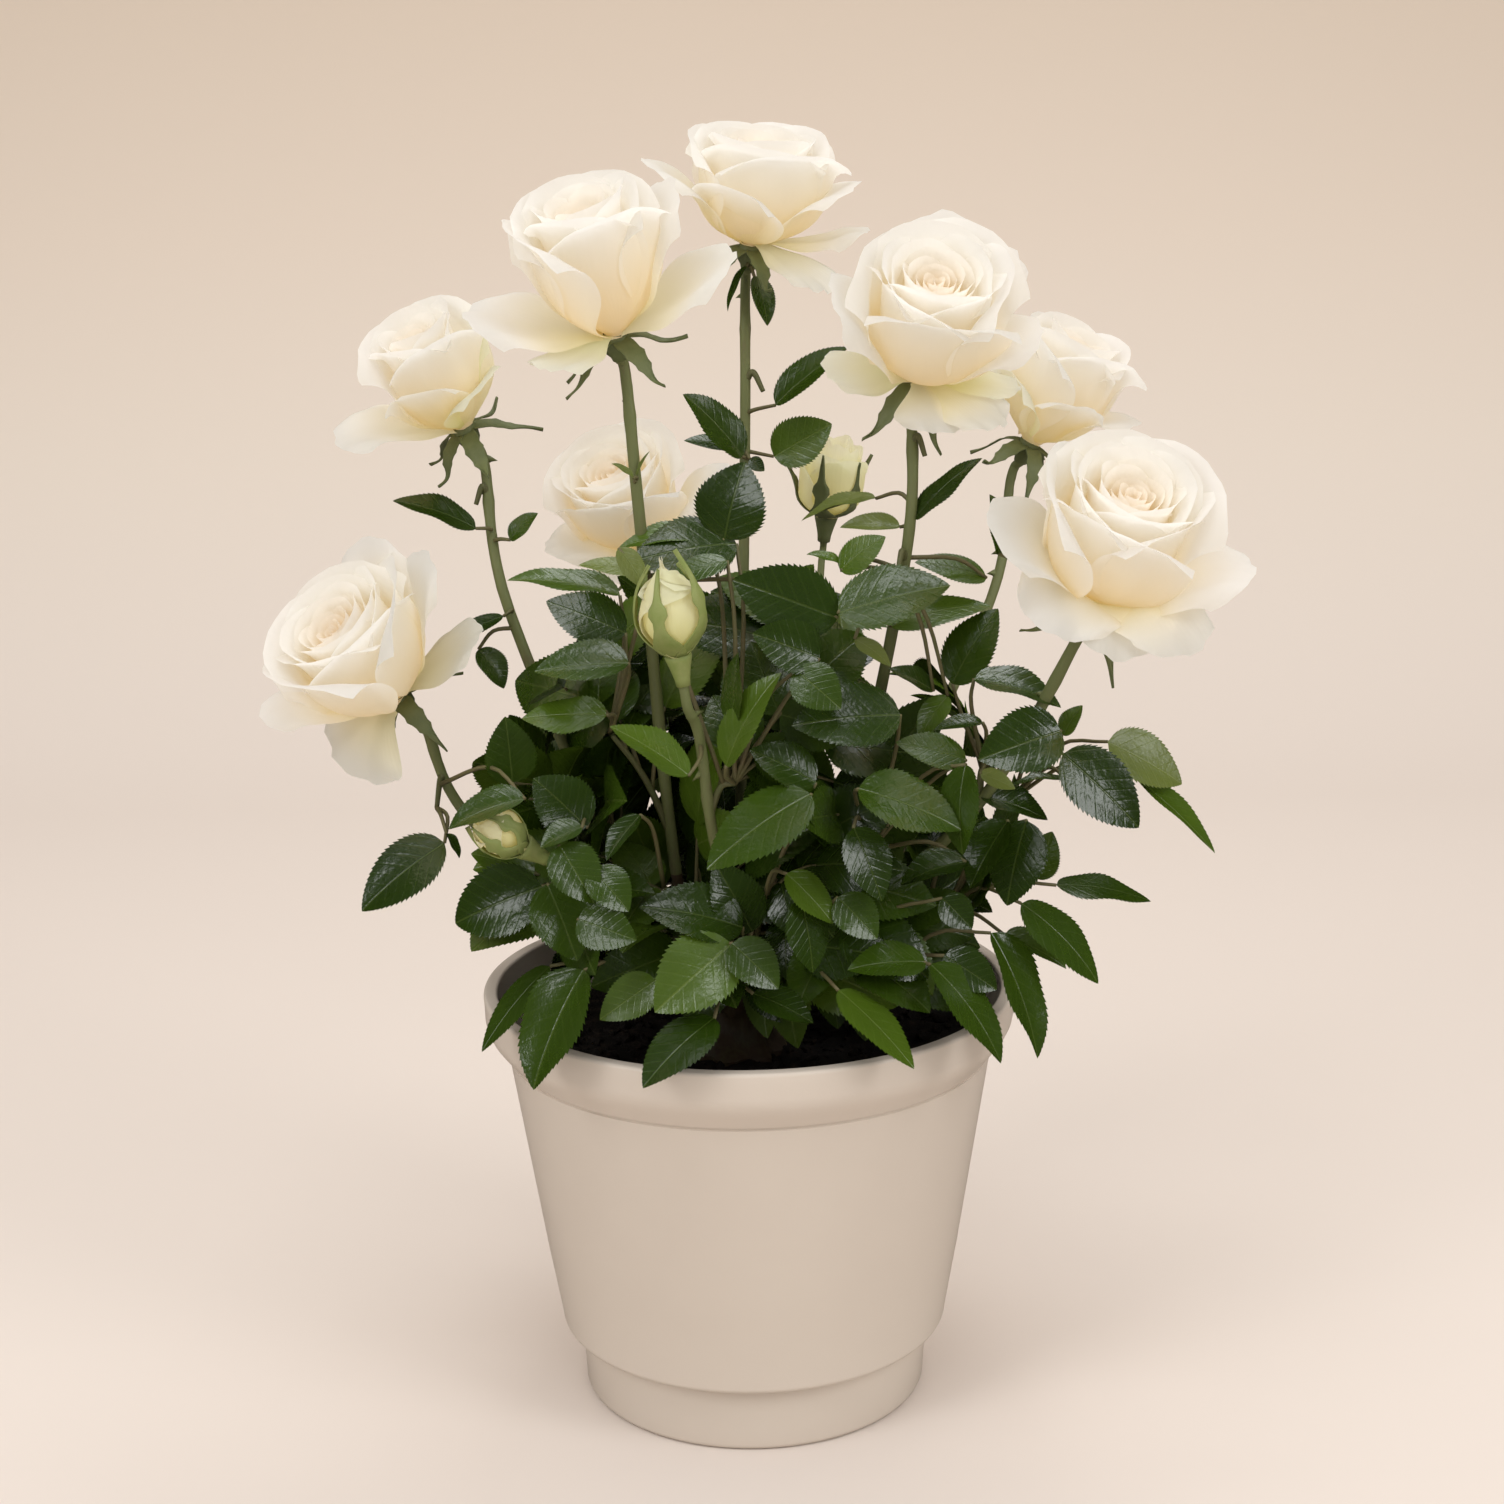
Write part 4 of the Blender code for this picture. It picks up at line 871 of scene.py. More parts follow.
def sheet(bearing, foot, angles, length, width, rng, ruffle, roll=0.0, side_roll=0.0, round_off=0.0,
          point=0.0, spiral=0.0, flat=0.0, cup=0.0, claw=0.25, taper=None, lift=0.0, lopsided=0.0):
    """A petal or sepal as a grid of points in its flower's frame, with its chart.

    angles are from the flower's axis, along the middle line up to the lip, which
    then turns out by roll. A petal wraps round the axis, or lies flat as a blade.
    side runs from -1 to 1 across it, and part from 0 at its foot to 1 at its edge.
    """
    crowd = math.pi / 2 * CROWDING
    side = np.sin(np.linspace(-1, 1, COLUMNS) * crowd)[None, :] / math.sin(crowd)
    part = 1 - (1 - np.linspace(0, 1, ROWS)[:, None]) ** 1.3
    size = 1 - round_off * np.abs(side) ** 3.2 + point * np.clip(1 - np.abs(side) / 0.22, 0, 1)
    along = part * size
    angle = np.radians(np.interp(along / LIP, np.linspace(0, 1, len(angles)), angles))
    lip = np.radians(roll) * smooth((part - LIP + 0.08) / (1 - LIP + 0.08))
    angle = angle + lip * (0.6 + 0.5 * side**2)
    step = np.diff(along, axis=0) * length
    middle = (angle[1:] + angle[:-1]) / 2
    start = np.zeros((1, COLUMNS))
    radius = foot + np.concatenate([start, np.cumsum(step * np.sin(middle), axis=0)])
    rise = lift + np.concatenate([start, np.cumsum(step * np.cos(middle), axis=0)])
    if taper is None:
        wide = (claw + (1 - claw) * smooth(part / 0.68)) * (1 - 0.10 * smooth((part - 0.7) / 0.3))
    else:
        wide = np.interp(part, *taper)
    aside = side * wide * width / 2
    centre = np.maximum(radius[:, COLUMNS // 2][:, None], 0.0022)
    turn = aside / centre
    edge = side_roll * smooth((np.abs(side) - 0.62) / 0.38) ** 1.3 * smooth(part / 0.55)
    edge = edge * (1 + lopsided * np.sign(side))
    reach = np.maximum(radius + spiral * turn, 0.0006) + edge
    around = np.stack([np.sin(bearing + turn), -np.cos(bearing + turn), 0 * aside], -1)
    out, up = np.array([math.sin(bearing), -math.cos(bearing), 0.0]), np.array([0, 0, 1.0])
    wrapped = reach[..., None] * around + rise[..., None] * up
    beside = np.array([math.cos(bearing), math.sin(bearing), 0.0])
    inner = -np.cos(angle)[..., None] * out + np.sin(angle)[..., None] * up
    bend = cup * aside**2 / 2 - edge * 0.7
    blade = radius[..., None] * out + rise[..., None] * up + (aside + 0 * radius)[..., None] * beside
    blade = blade + bend[..., None] * inner
    points = wrapped * (1 - flat) + blade * flat
    phase = [rng.uniform(0, 6.28) for _ in range(3)]
    wave = np.sin(3.1 * side + phase[0]) * 0.6
    wave = wave + np.sin(7.3 * side + 2.2 * part + phase[1]) * 0.45 * np.abs(side)
    wave = wave + 0.35 * np.sin(12.7 * side + phase[2]) * smooth((part - 0.7) / 0.3)
    points = points + (ruffle * wave * part**1.7)[..., None] * (inner if flat > 0.5 else -around)
    chart = np.stack([(side + 1) / 2 + 0 * part, part + 0 * side], -1)
    return points.reshape(-1, 3), chart.reshape(-1, 2)


def sheet_faces():
    return [(r * COLUMNS + c, r * COLUMNS + c + 1, (r + 1) * COLUMNS + c + 1, (r + 1) * COLUMNS + c)
            for r in range(ROWS - 1) for c in range(COLUMNS - 1)]


def rising(foot, rim, height, belly, roll=0.0):
    """Angles in degrees, and the length, of a petal that rises from foot to rim."""
    low, high = 0.0, math.radians(56)
    for _ in range(24):
        amount = (low + high) / 2
        out, up = np.sin(amount * belly).mean(), np.cos(amount * belly).mean()
        if out * height < (rim - foot) * up:
            low = amount
        else:
            high = amount
    lip = math.cos(amount * belly[-1] + math.radians(0.6 * roll))
    return np.degrees(amount * belly), height / (LIP * up + (1 - LIP) * max(lip, 0))


def bulb(foot, waist, height):
    """The angles and length of the lower part of a bud, from its foot to its waist."""
    return rising(foot, waist, height * 0.36, BELLY[:18])


def cup_petals(heap, matrix, radius, height, number, rng):
    """The petals of an open cup, from the tight heart outwards, by the golden turn."""
    turn = rng.uniform(0, 2 * math.pi)
    faces = sheet_faces()
    for i in range(number):
        outer = i / (number - 1)
        turn += GOLDEN_TURN + rng.uniform(-0.16, 0.16)
        rim = radius * (0.045 + 0.875 * outer**1.15)
        roll = 6 + 70 * outer**2 + rng.uniform(-6, 16) * outer
        crest = 0.86 + 0.14 * smooth(outer / 0.7) - 0.08 * smooth((outer - 0.75) / 0.25)
        crest += rng.uniform(-0.025, 0.025)
        foot = 0.0012 + 0.0030 * outer
        angles, length = rising(foot, rim, height * crest, BELLY, roll)
        width = 2 * rim * math.radians(112 - 50 * outer) + 0.004
        points, chart = sheet(
            turn, foot, angles, length, width, rng, 0.0002 + 0.0008 * outer, roll=roll,
            side_roll=0.0002 + 0.0042 * outer**2, lopsided=rng.uniform(-0.9, 0.9), round_off=0.15,
            spiral=0.0005 + 0.0010 * outer, flat=0.10 * outer**2, cup=14.0)
        low = 1 - chart[:, 1]
        # Peach towards the heart and the foot of each petal is partly the heart's own tint and partly
        # painted warm shade deep in the cup.
        warm = (1 - smooth(outer / 0.75)) * (0.22 + 0.78 * smooth(low / 0.6)) + 0.22 * low * (1 - outer)
        place_sheet(heap, matrix, points, faces, chart, np.clip(warm, 0, 1), 0.0)


def place_sheet(heap, matrix, points, faces, chart, warmth, fresh, tint=0):
    # The sixth argument, the peach of a petal, is partly painted warm shade.
    turned_points = points @ np.array(matrix.to_3x3()).T + np.array(matrix.translation)
    heap.add(turned_points, faces, chart, tint, warmth=warmth, fresh=fresh)


def guard_petals(heap, matrix, radius, height, guards, rng):
    """The outer petals: they follow the cup from outside, then lean away from it."""
    hug, _ = rising(GUARD_FOOT, radius * 1.02, height * 0.95, BELLY)
    along = np.linspace(0, 1, len(BELLY))
    for bearing, rise, spread, length, width, green in guards:
        lean = rise + (spread - rise) * smooth((along - 0.35) / 0.6)
        free = smooth((along - 0.1) / 0.5)
        angles = np.maximum(lean, hug * (1 - free) + lean * free)
        points, chart = sheet(
            math.radians(bearing), GUARD_FOOT, angles, length / 1000, width / 1000, rng,
            0.0016 + 0.0022 * smooth((spread - 60) / 50), roll=16 if spread > 70 else 44,
            side_roll=0.0040, lopsided=rng.uniform(-0.8, 0.8), round_off=0.26,
            point=rng.uniform(0.02, 0.09), flat=0.15 + 0.85 * smooth((rise - 20) / 45),
            cup=16.0 if spread < 96 else -5.0, claw=0.34, lift=0.0012)
        low = 1 - chart[:, 1]
        fresh = np.clip(green * (0.45 + 0.55 * low) + 0.30 * smooth(low / 0.8 - 0.25), 0, 1)
        # Towards its foot a guard petal is greener, its own colour, and a little warmer, which is painted
        # shade.
        place_sheet(heap, matrix, points, sheet_faces(), chart, 0.10 * low, fresh)


# A sepal's greatest width, and its share of that along its length: held up round a bud
# (False), or thrown back under a bloom (True).
SEPAL_WIDTH = {False: 0.0145, True: 0.0095}
SEPAL_TAPER = {False: ((0, 0.12, 0.24, 0.38, 0.48, 0.56, 0.62, 0.70, 0.85, 1.0),
                       (0.75, 1.0, 0.86, 0.46, 0.28, 0.60, 0.56, 0.22, 0.14, 0.03)),
               True: ((0, 0.12, 0.30, 0.38, 0.46, 0.56, 0.64, 0.80, 1.0),
                      (0.72, 0.95, 0.86, 1.05, 0.66, 0.74, 0.40, 0.20, 0.03))}


def add_calyx(heap, matrix, opened, rng, size, radius, height):
    """The hip and its five sepals: thrown back under a bloom, or held up round a bud."""
    sides = 16
    stout = radius > STOUT_BUD
    tint = 0 if opened or stout else 1
    outline = [(HIP_NECK * out, -HIP_LENGTH + up) for out, up in HIP_NECKS[opened]]
    outline += [(HIP_RADIUS * out, up * HIP_LENGTH) for out, up in HIP_SHAPES[opened]]
    outline.append((HIP_RADIUS * 0.5, HIP_CROWN[opened]))
    points = [(r * math.sin(2 * math.pi * k / sides), -r * math.cos(2 * math.pi * k / sides), z)
              for r, z in outline for k in range(sides)]
    chart = np.zeros((len(points), 2))
    place_sheet(heap, matrix, np.array(points), ring_faces(len(outline), sides), chart, 0, 0, tint)
    foot = HIP_RADIUS * 0.62
    for k in range(5):
        bearing = 20 + 72 * k + rng.uniform(-14, 14)
        if opened:
            thrown = (128 + rng.uniform(-14, 20), 144 + rng.uniform(-40, 20), 124 + rng.uniform(-60, 30))
            angles = [100, 112, *thrown]
        else:
            bearing = 72 * k - 20 + rng.uniform(-8, 8)
            hug, _ = bulb(foot, 0.0015 + radius * 1.10, height)
            lean = 20 + 60 * rng.uniform(0.3, 1) if stout else 16 * rng.uniform(0, 1) ** 2
            angles = np.concatenate([hug, np.linspace(min(hug[-1], 6.0), lean - 40, 22)])
        points, chart = sheet(
            math.radians(bearing), foot, angles, size * rng.uniform(0.86, 1.15), SEPAL_WIDTH[opened],
            rng, 0.0008, side_roll=-0.0006, flat=0.7, cup=50.0, lift=-0.0022 if opened else 0.0,
            taper=SEPAL_TAPER[opened])
        place_sheet(heap, matrix, points, sheet_faces(), chart, 0, 0, tint)


def make_flowers():
    """Every bloom and bud in its petals, and all their hips and sepals in one piece."""
    paint = petal_paint()
    calyxes = Heap()
    for name, (calyx, facing, radius, height, number, guards) in FLOWERS.items():
        rng = random.Random(name)
        matrix = flower_frame(calyx, facing)
        heap = Heap()
        if guards:
            cup_petals(heap, matrix, radius, height, number, rng)
            guard_petals(heap, matrix, radius, height, guards, rng)
        else:
            bud_petals(heap, matrix, radius, height, number, rng)
        item = heap.build(name + "_petals", [paint])
        dress(item, "petal" if guards else "bud", name)
        add_calyx(calyxes, matrix, bool(guards), rng, 0.033 if guards else 1.15 * height, radius, height)
    sepals = calyxes.build("calyxes", [
        green_paint("calyx_green", tone(0.085, 0.112, 0.036), tone(0.160, 0.175, 0.075)),
        green_paint("bud_green", tone(0.165, 0.235, 0.042), tone(0.310, 0.320, 0.125))])
    with_modifier(sepals, "SOLIDIFY", thickness=0.0005, offset=0.0)
    dress(sepals, "bud")


def bud_petals(heap, matrix, radius, height, number, rng):
    """The furled petals of a bud: they close over its tip, more so on a slender bud."""
    stout = (3.4 - height / radius) / 1.4
    closed = -64 + 50 * stout
    outline = ((0, 0.15, 0.40, 0.65, 0.85, 1.0),
               (0.45, 0.80, 1.0, 0.90, 0.62 + 0.30 * stout, 0.26 + 0.50 * stout))
    turn = rng.uniform(0, 2 * math.pi)
    for i in range(number):
        outer = i / (number - 1)
        turn += GOLDEN_TURN
        foot = 0.001 + 0.002 * outer
        angles, _ = bulb(foot, radius * (0.30 + 0.70 * outer), height)
        closing = np.concatenate([angles, np.linspace(min(angles[-1], 2.0), closed + 8 * outer, 22)])
        points, chart = sheet(
            turn, foot, closing, height * (1.16 - 0.10 * outer), 0.014 + 0.022 * outer * radius / 0.013,
            rng, 0.0004, roll=2 + 6 * outer, side_roll=0.0006 * outer, round_off=0.24, point=0.05,
            taper=outline, spiral=0.0005 + 0.0006 * outer)
        fresh = (1.0 - 0.52 * smooth(chart[:, 1] * 1.4)) * (0.60 + 0.40 * outer)
        # The inner petals of a bud are peach, partly their own tint and partly painted warm shade inside
        # the bud.
        place_sheet(heap, matrix, points, sheet_faces(), chart, 0.15 * (1 - outer), fresh)


# ---- leaves ----------------------------------------------------------------

STATIONS = np.array([0, 0.06, 0.14, 0.23, 0.33, 0.43, 0.53, 0.63, 0.73, 0.82, 0.90, 0.96, 1.0])
FULLNESS = (0.60, 0.92)  # how its outline fills out from the base and from the tip
TOOTH = 0.020  # against its length


def blade_half(along):
    """Half the width of a leaflet at a share of its length, 1 at the widest."""
    low, high = FULLNESS
    peak = low / (low + high)
    return (along**low * (1 - along) ** high) / (peak**low * (1 - peak) ** high)


def leaflet_outline():
    """A leaflet in its plane: points as (across -1 to 1, along 0 to 1), and its faces."""
    fine = np.sort(np.concatenate([STATIONS, (STATIONS[1:] + STATIONS[:-1]) / 2]))
    points = [(0.0, y) for y in STATIONS]
    faces = []
    last = len(STATIONS) - 1
    for hand in (-1, 1):
        half = {0: 0, last: last}
        for i in range(1, last):
            half[i] = len(points)
            points.append((hand * 0.5 * blade_half(STATIONS[i]), STATIONS[i]))
        edge = {0: 0, 2 * last: last}
        for j in range(1, 2 * last):
            edge[j] = len(points)
            points.append((hand * 0.93 * blade_half(fine[j]), fine[j]))
        strips = []
        for i in range(last):
            strips.append([i, i + 1, half[i + 1], half[i]])
            strips.append([half[i], half[i + 1], edge[2 * i + 2], edge[2 * i + 1], edge[2 * i]])
        for j in range(1, 2 * last - 1):
            tip = len(points)
            y = fine[j + 1] + TOOTH * 0.35
            points.append((hand * (blade_half(min(y, 0.99)) + TOOTH * 0.9), y))
            strips.append([edge[j], edge[j + 1], tip])
        for strip in strips:
            corners = list(dict.fromkeys(strip))
            if len(corners) > 2:
                faces.append(tuple(corners if hand > 0 else reversed(corners)))
    return np.array(points), [tuple(reversed(f)) for f in faces]


OUTLINE, BLADE_FACES = leaflet_outline()
PLAIN = np.array([(0, 0), (0, 1), (0.9, 0.42), (-0.9, 0.42), (0.7, 0.72), (-0.7, 0.72)])
PLAIN_FACES = [(0, 2, 3), (3, 2, 4), (3, 4, 5), (5, 4, 1)]


def blade(outline, root, heading, normal, length, shape, fold, droop, wave):
    """Places a leaflet's outline in space: folded on its rib and drooping to its tip."""
    side = heading.cross(normal).normalized()
    normal = side.cross(heading).normalized()
    across = outline[:, 0] * length * shape / 2
    along = outline[:, 1]
    bend = droop * along
    forward = length * np.sin(bend) / droop
    down = length * (1 - np.cos(bend)) / droop
    crown = np.abs(across) * fold - across**2 * 9.0
    crown = crown + wave * length * np.sin(along * 9.0) * np.abs(outline[:, 0]) ** 1.5
    h, n, s = np.array(heading), np.array(normal), np.array(side)
    ahead = forward + crown * np.sin(bend)
    above = crown * np.cos(bend) - down
    return np.array(root) + ahead[:, None] * h + above[:, None] * n + across[:, None] * s


class Thicket:
    """What already grows, so that new leaves keep out of it."""

    def __init__(self):
        self.trees, self.middles, self.sizes = [], [], []

    def add(self, points, faces):
        middle, size = ball(points)
        self.trees.append(BVHTree.FromPolygons(points.tolist(), faces))
        self.middles.append(middle)
        self.sizes.append(size)

    def touches(self, points, faces):
        middle, size = ball(points)
        gaps = np.linalg.norm(np.array(self.middles) - middle, axis=1) - np.array(self.sizes) - size
        near = np.nonzero(gaps < 0)[0]
        if not len(near):
            return False
        tree = BVHTree.FromPolygons(points.tolist(), faces)
        return any(tree.overlap(self.trees[i]) for i in near)


class Foliage:
    """All leaflets and stalks of the bush, gathered by the side they grow on."""

    def __init__(self):
        self.thicket = Thicket()
        self.blades = {"left": Heap(), "right": Heap(), "back": Heap()}
        self.stalks = Heap()
        self.leading = []

    def add_stalk(self, path, radii, sides, tint=0):
        points, faces = tube(path, radii, sides)
        self.stalks.add(points, faces, tint=tint)

    def add_leaflet(self, root, heading, normal, length, tint, rng, shape=None, droop=None):
        shape = (shape or LEAFLET_SHAPE) * rng.uniform(0.94, 1.06)
        droop = droop or rng.uniform(0.25, 0.95)
        args = (root, heading, normal, length, shape, rng.uniform(0.10, 0.46), droop)
        middle = root + heading * length / 2
        heap = self.blades["back" if middle.y > BACK_FROM else "left" if middle.x < 0 else "right"]
        chart = np.stack([(OUTLINE[:, 0] + 1) / 2, OUTLINE[:, 1]], -1)
        heap.add(blade(OUTLINE, *args, rng.uniform(-0.030, 0.030)), BLADE_FACES, chart, tint)
        self.thicket.add(blade(PLAIN, *args, 0.0), PLAIN_FACES)

    def add_leading(self, foot, tip, shown, tint, rng):
        """A leaf from its foot to its tip, turned about its rib to show the given width."""
        chord = tip - foot
        way = chord.normalized()
        to_eye = Vector(CAMERA_PLACE) - foot
        facing = (to_eye - way * to_eye.dot(way)).normalized()
        side = way.cross(facing)
        rising = side if side.z > 0 else -side
        real = max(shown, min(0.68, shown + 0.13))
        tilt = math.acos(min(shown / real, 1.0)) + rng.uniform(0.10, 0.35)
        normal = facing * math.cos(tilt) + rising * math.sin(tilt)
        droop = rng.uniform(0.25, 0.60)
        heading = way * math.cos(droop / 2) + normal * math.sin(droop / 2)
        length = chord.length * (droop / 2) / math.sin(droop / 2)
        self.add_leaflet(foot, heading, normal, length, tint, rng, real, droop)
        self.leading.append(((foot + tip) / 2, LEADING_CLEAR))

    def hides_leading(self, points):
        middle = Vector(points.mean(0))
        return any(math.hypot(middle.x - place.x, middle.z - place.z) < clear
                   and middle.y < place.y + LEADING_DEPTH for place, clear in self.leading)

    def fits(self, points, stem, reach):
        """Whether a piece keeps to its space, inside the crown and out of the pot's wall."""
        near = np.array([list(p) for p in stem])
        if np.linalg.norm(points[:, None] - near[None], axis=2).min(1).max() > reach:
            return False
        x, y, z = points.T
        if np.any(np.abs(x) > np.interp(z, *CROWN_EDGE)) or self.hides_leading(points):
            return False
        eye = Vector(CAMERA_PLACE)
        over_top = eye.z + (z - eye.z) * (BOARD - eye.y) / (y - eye.y) > CROWN_TOP
        over_rim = (y < RIM_FRONT) & (z < RIM_SHOWS)
        over_rim |= (y < 0) & (z < RIM_SIDE_SHOWS) & (np.abs(x - RIM_SHIFT) > RIM_SIDE)
        out = np.hypot(x, y)
        over_pot = out < RIM_RADIUS + 0.003
        lowest = np.where(over_pot & (z < RIM_HEIGHT + 0.002), COMPOST_HEIGHT + LEAF_CLEAR, LOWEST_LEAF)
        in_wall = over_pot & (out > RIM_RADIUS - LIP_WIDTH - 0.004) & (z < RIM_HEIGHT + 0.001)
        return not np.any(over_top | over_rim | (z < lowest) | in_wall)


def leaf_parts(node, heading, outward, length, size, rng):
    """A compound leaf: its stalk's path, and (root, heading, normal, length) of each leaflet."""
    sag = rng.uniform(0.15, 0.50)

    def along(share):
        return node + heading * length * share - UP * length * sag * share**2

    path = [along(i / STALK_PIECES) for i in range(STALK_PIECES + 1)]
    end_way = (path[-1] - path[-2]).normalized()
    light = UP * 0.62 + outward * 0.80 + Vector([rng.uniform(-0.3, 0.3) for _ in range(3)])
    normal = (light - end_way * light.dot(end_way)).normalized()
    across = end_way.cross(normal)
    leaflets = [(path[-1], end_way, normal, size * rng.uniform(1.0, 1.16))]
    for share, smaller in LEAFLET_PAIRS:
        spot = along(share)
        for hand in (-1, 1):
            way = (end_way * rng.uniform(0.30, 0.62) + across * hand).normalized()
            tilt = (normal + across * hand * rng.uniform(-0.1, 0.35)).normalized()
            leaflets.append((spot, way, tilt, size * smaller * rng.uniform(0.92, 1.08)))
    return path, leaflets


def try_leaf(foliage, node, way, outward, length, size, stem, reach, tint, rng):
    """Grows a compound leaf if its end leaflet has room, with the side leaflets that have."""
    path, leaflets = leaf_parts(node, way, outward, length, size, rng)
    kept = []
    for root, heading, normal, long in leaflets:
        test = blade(PLAIN, root, heading, normal, long, LEAFLET_SHAPE, 0.2, 0.5, 0.0)
        if foliage.fits(test, stem, reach) and not foliage.thicket.touches(test, PLAIN_FACES):
            kept.append((root, heading, normal, long))
        elif not kept:
            return False
    if len(kept) < 2 and len(leaflets) > 2:
        return False
    foliage.add_stalk(path, [STALK_RADIUS * (1.25 - 0.1 * i) for i in range(len(path))], 5, 1)
    for root, heading, normal, long in kept:
        foliage.add_leaflet(root, heading, normal, long, tint, rng)
    return True


def lay_stem(limbs, name):
    """The stem of a mass, from its cane towards its last leaf."""
    parent, where, last, _, _ = MASSES[name]
    last = Vector(last)
    root, heading = start_of(limbs, parent, where, last)
    way = (last - root).normalized()
    end = last - way * min(LAST_LEAF, 0.7 * (last - root).length)
    bow = root + heading * (end - root).length * 0.45 + UP * STEM_BOW
    path = smooth_path([root, bow, end], 8)
    radii = [STEM_RADIUS - STEM_TAPER * i / (len(path) - 1) for i in range(len(path))]
    return path, radii


def from_board(x, z, y):
    """The place at the depth y which, seen from the front, stands against the board at x, z."""
    eye = Vector(CAMERA_PLACE)
    spot = Vector((x / 1000, BOARD, z / 1000))
    return eye + (spot - eye) * ((y / 1000 - eye.y) / (BOARD - eye.y))


def lay_leading(foliage, paths):
    """The leading leaves, each on a stalk from the nearest place on its limb."""
    for limb, rows in LEADING_LEAVES.items():
        rng = random.Random(limb + " leading")
        for x0, z0, x1, z1, y0, y1, shown, tint in rows:
            foot, tip = from_board(x0, z0, y0), from_board(x1, z1, y1)
            near = min(paths[limb][2:], key=lambda p: (p - foot).length)
            bow = near.lerp(foot, 0.55) + UP * 0.12 * (foot - near).length - (tip - foot) * 0.08
            stalk = smooth_path([near, bow, foot], 4)
            foliage.add_stalk(stalk, [STALK_RADIUS * (1.3 - 0.05 * i) for i in range(len(stalk))], 5, 1)
            foliage.add_leading(foot, tip, shown, tint, rng)


def grow_mass(foliage, stem, name):
    """Leaves round a stem, by a seeded rule, from its end back to its foot."""
    _, _, last, reach, count = MASSES[name]
    rng = random.Random(name + " leaves")
    home = Vector((last[0], last[1], 0)).normalized()
    turn = rng.uniform(0, 2 * math.pi)
    young = last[2] > YOUNG_ABOVE
    for i in range(count):
        share = 1.0 if i == 0 else 0.92 - 0.74 * (i - 1) / max(count - 1, 1)
        node, tangent, _ = place_on(stem, share)
        side = tangent.orthogonal().normalized()
        other = tangent.cross(side)
        turn += GOLDEN_TURN
        tint = rng.choices((0, 1, 2, 3), (2, 3, 3, 2) if young else (5, 4, 2, 0))[0]
        for attempt in range(ATTEMPTS):
            way = swung(side, other, turn + attempt) + tangent * 0.5 + home * 0.5 + UP * 0.12 * attempt
            length = STALK_LENGTH * rng.uniform(0.75, 1.1)
            if i == 0:
                way = Vector(last) + UP * 0.010 * (1 + attempt) - node
                length = STALK_LENGTH * 0.55
            way.normalize()
            size = LEAFLET_LENGTH * rng.uniform(0.88, 1.12)
            if try_leaf(foliage, node, way, home, length, size, stem[0], reach, tint, rng):
                break


def make_leaves(limbs):
    foliage = Foliage()
    for name in ("pot", "burl", *CANES, *FLOWERS):
        foliage.thicket.add(*mesh_parts(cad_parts[name].data))
    stems = {name: lay_stem(limbs, name) for name in MASSES}
    for stem in stems.values():
        foliage.add_stalk(*stem, 8)
    paths = {name: limb[0] for name, limb in {**limbs, **stems}.items()}
    foliage.leading += [(p, SHOWN_CLEAR) for name in SHOWN_CANES for p in paths[name] if p.z > SHOWN_ABOVE]
    lay_leading(foliage, paths)
    for name, stem in stems.items():
        grow_mass(foliage, stem, name)
    greens = [
        leaf_paint("leaf_dark", tone(0.023, 0.049, 0.0026), tone(0.070, 0.100, 0.018), 0.20),
        leaf_paint("leaf_deep", tone(0.038, 0.076, 0.0040), tone(0.090, 0.130, 0.024), 0.21),
        leaf_paint("leaf_fresh", tone(0.074, 0.132, 0.0080), tone(0.140, 0.190, 0.036), 0.23),
        leaf_paint("leaf_young", tone(0.150, 0.190, 0.032), tone(0.200, 0.240, 0.066), 0.30),
    ]
    sides = {
        "left": [n for n in MASSES if "left" in n and "back" not in n] + ["leaves_front_low"],
        "right": [n for n in MASSES if "right" in n and "back" not in n],
        "back": [n for n in MASSES if "back" in n] + ["leaves_top_cane"],
    }
    sides["right"] += ["leaves_front", "leaves_middle", "leaves_middle_upper"]
    for side, nodes in sides.items():
        item = foliage.blades[side].build(f"leaflets_{side}", greens)
        dress(item, "leaf", *nodes)
    stalk_paints = [green_paint("twig_green", tone(0.095, 0.120, 0.038), tone(0.130, 0.110, 0.050)),
                    green_paint("stalk_green", tone(0.115, 0.130, 0.044), tone(0.150, 0.105, 0.055))]
    dress(foliage.stalks.build("twigs", stalk_paints), "cane")


# ---- room, light and camera ------------------------------------------------

LENS = 57.45
CAMERA_PLACE = (0.0031, -1.0804, 0.5675)
CAMERA_PITCH = 13.38
CAMERA_ROLL = 0.88
FLOOR_FRONT, FLOOR_BACK, FLOOR_SIDE, FLOOR_BEND = -2.6, 1.1, 4.5, 0.9
BACKDROP_TOP = 4.2
# The paper's colour by height, as shares of BACKDROP_TOP. It is one even tone on the floor and darker up
# the backdrop, which is painted shade for the light falling off towards the top.
PAPER_SHADED_TONES = [(0.0, tone(0.770, 0.692, 0.635)), (0.06, tone(0.755, 0.668, 0.586)),
               (0.12, tone(0.722, 0.620, 0.527)), (0.30, tone(0.590, 0.488, 0.382))]

DAYLIGHT = (0.98, 0.985, 0.99)
WORLD_COLOUR, WORLD_STRENGTH = (1.0, 0.97, 0.93, 1.0), 0.65
# Lights: place, what each is turned to, its two sides and its watts.
LIGHTS = (
    ("left_softbox", (-1.4, -1.35, 1.5), (0, 0, 0.3), (0.7, 1.0), 10.8),
    ("right_softbox", (1.55, -1.15, 1.4), (0, 0, 0.3), (0.7, 1.0), 12),
    ("high_softbox", (-0.2, -0.85, 2.1), (0, 0, 0.3), (0.9, 0.55), 7.5),
    ("top_softbox", (0.2, 0.45, 2.1), (0, 0, 0.3), (0.9, 0.55), 6),
    ("front_fill", (0.0, -2.4, 1.3), (0, 0, 0.3), (2.4, 1.6), 5),
    ("backdrop_light", (0.0, 0.7, 2.7), (0, 1.8, 0.25), (3.0, 0.8), 11.8),
)


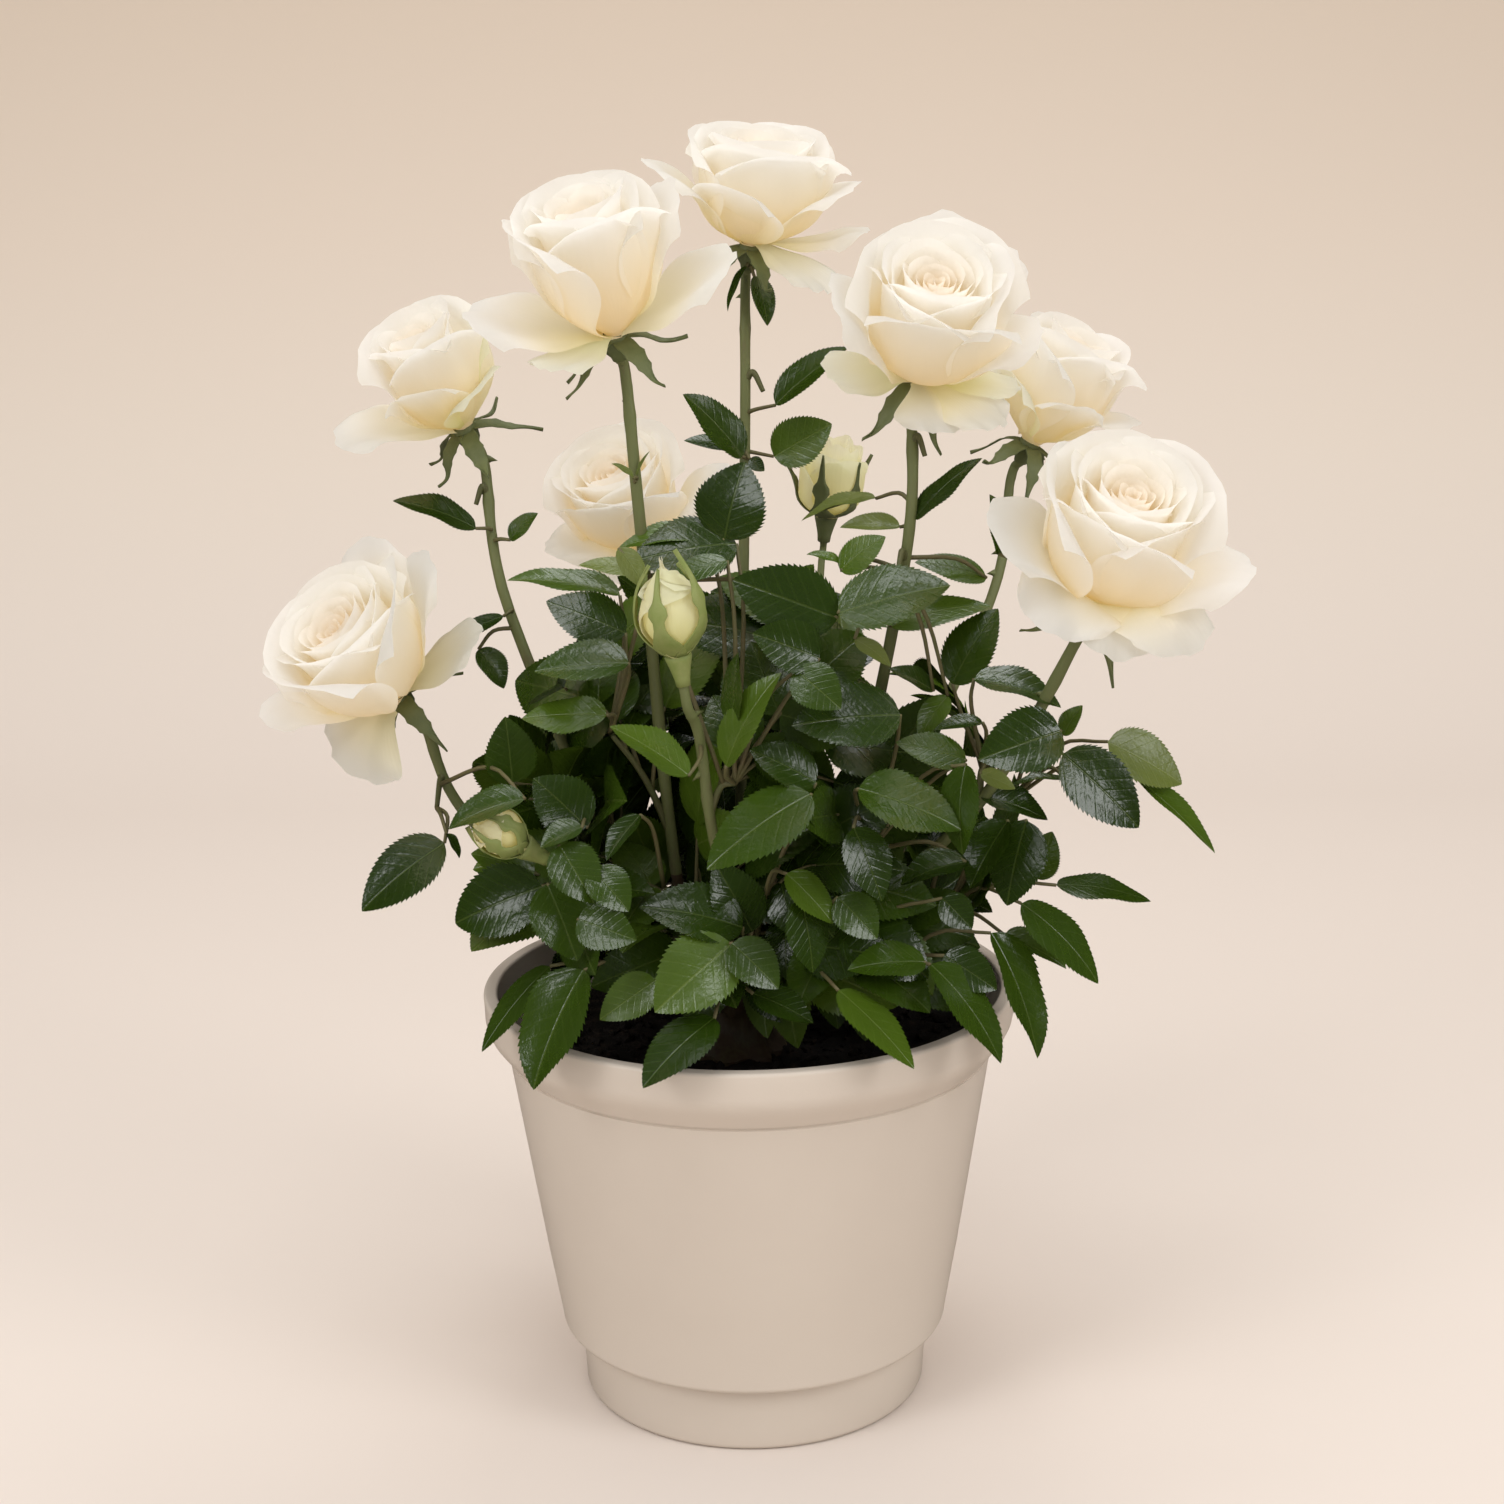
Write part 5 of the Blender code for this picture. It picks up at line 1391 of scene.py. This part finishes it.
def make_stage():
    """A pale floor that sweeps up into a backdrop, painted darker towards its top as painted shade."""
    bpy.ops.object.select_all(action="DESELECT")
    bpy.ops.mesh.primitive_plane_add(size=1, location=(0, 0, 0))
    floor = bpy.context.object
    floor.name = "floor"
    outline = [(FLOOR_FRONT, 0.0), (FLOOR_BACK, 0.0)]
    outline += arc((FLOOR_BACK, FLOOR_BEND), FLOOR_BEND, -84, 0, 14)
    outline.append((FLOOR_BACK + FLOOR_BEND, BACKDROP_TOP))
    points = [(x, y, z) for y, z in outline for x in (-FLOOR_SIDE, FLOOR_SIDE)]
    faces = [(2 * i, 2 * i + 1, 2 * i + 3, 2 * i + 2) for i in range(len(outline) - 1)]
    floor.data.clear_geometry()
    floor.data.from_pydata(points, [], faces)
    floor.data.shade_smooth()
    paint = Paint("studio_paper", Roughness=0.9, Specular_IOR_Level=0.1)
    height = paint.node("ShaderNodeSeparateXYZ", sockets={0: paint.place()}, output=2)
    # Painted shade: the paper darkens with height up the backdrop.
    paint.put("Base Color", paint.ramp(height * (1 / BACKDROP_TOP), PAPER_SHADED_TONES))
    floor.data.materials.append(paint.material)
    floor.visible_glossy = False


def make_light():
    """Softboxes to both sides and above, a broad fill in front and one for the backdrop."""
    for name, place, target, size, watts in LIGHTS:
        lamp = bpy.data.lights.new(name, "AREA")
        lamp.shape = "RECTANGLE"
        lamp.size, lamp.size_y = size
        lamp.energy = watts
        lamp.color = DAYLIGHT
        item = bpy.data.objects.new(name, lamp)
        item.location = place
        item.rotation_euler = (Vector(target) - Vector(place)).to_track_quat("-Z", "Y").to_euler()
        item.visible_glossy = name != "front_fill"
        bpy.context.scene.collection.objects.link(item)
    world = bpy.data.worlds.new("studio")
    world.use_nodes = True
    colour, strength = world.node_tree.nodes["Background"].inputs[:2]
    colour.default_value, strength.default_value = WORLD_COLOUR, WORLD_STRENGTH
    world.cycles_visibility.glossy = False
    bpy.context.scene.world = world
    bpy.context.scene.view_settings.view_transform = "Standard"


def make_camera():
    lens = bpy.data.cameras.new("camera")
    lens.lens = LENS
    lens.sensor_width = 36
    item = bpy.data.objects.new("camera", lens)
    item.location = CAMERA_PLACE
    pitch = Matrix.Rotation(math.radians(90 - CAMERA_PITCH), 4, "X")
    roll = Matrix.Rotation(math.radians(-CAMERA_ROLL), 4, "Z")
    item.rotation_euler = (pitch @ roll).to_euler()
    bpy.context.scene.collection.objects.link(item)
    bpy.context.scene.camera = item


def main():
    make_stage()
    make_light()
    make_camera()
    make_pot()
    make_compost()
    make_burl()
    limbs = make_canes()
    make_flowers()
    make_leaves(limbs)
    bpy.ops.object.select_all(action="DESELECT")


main()
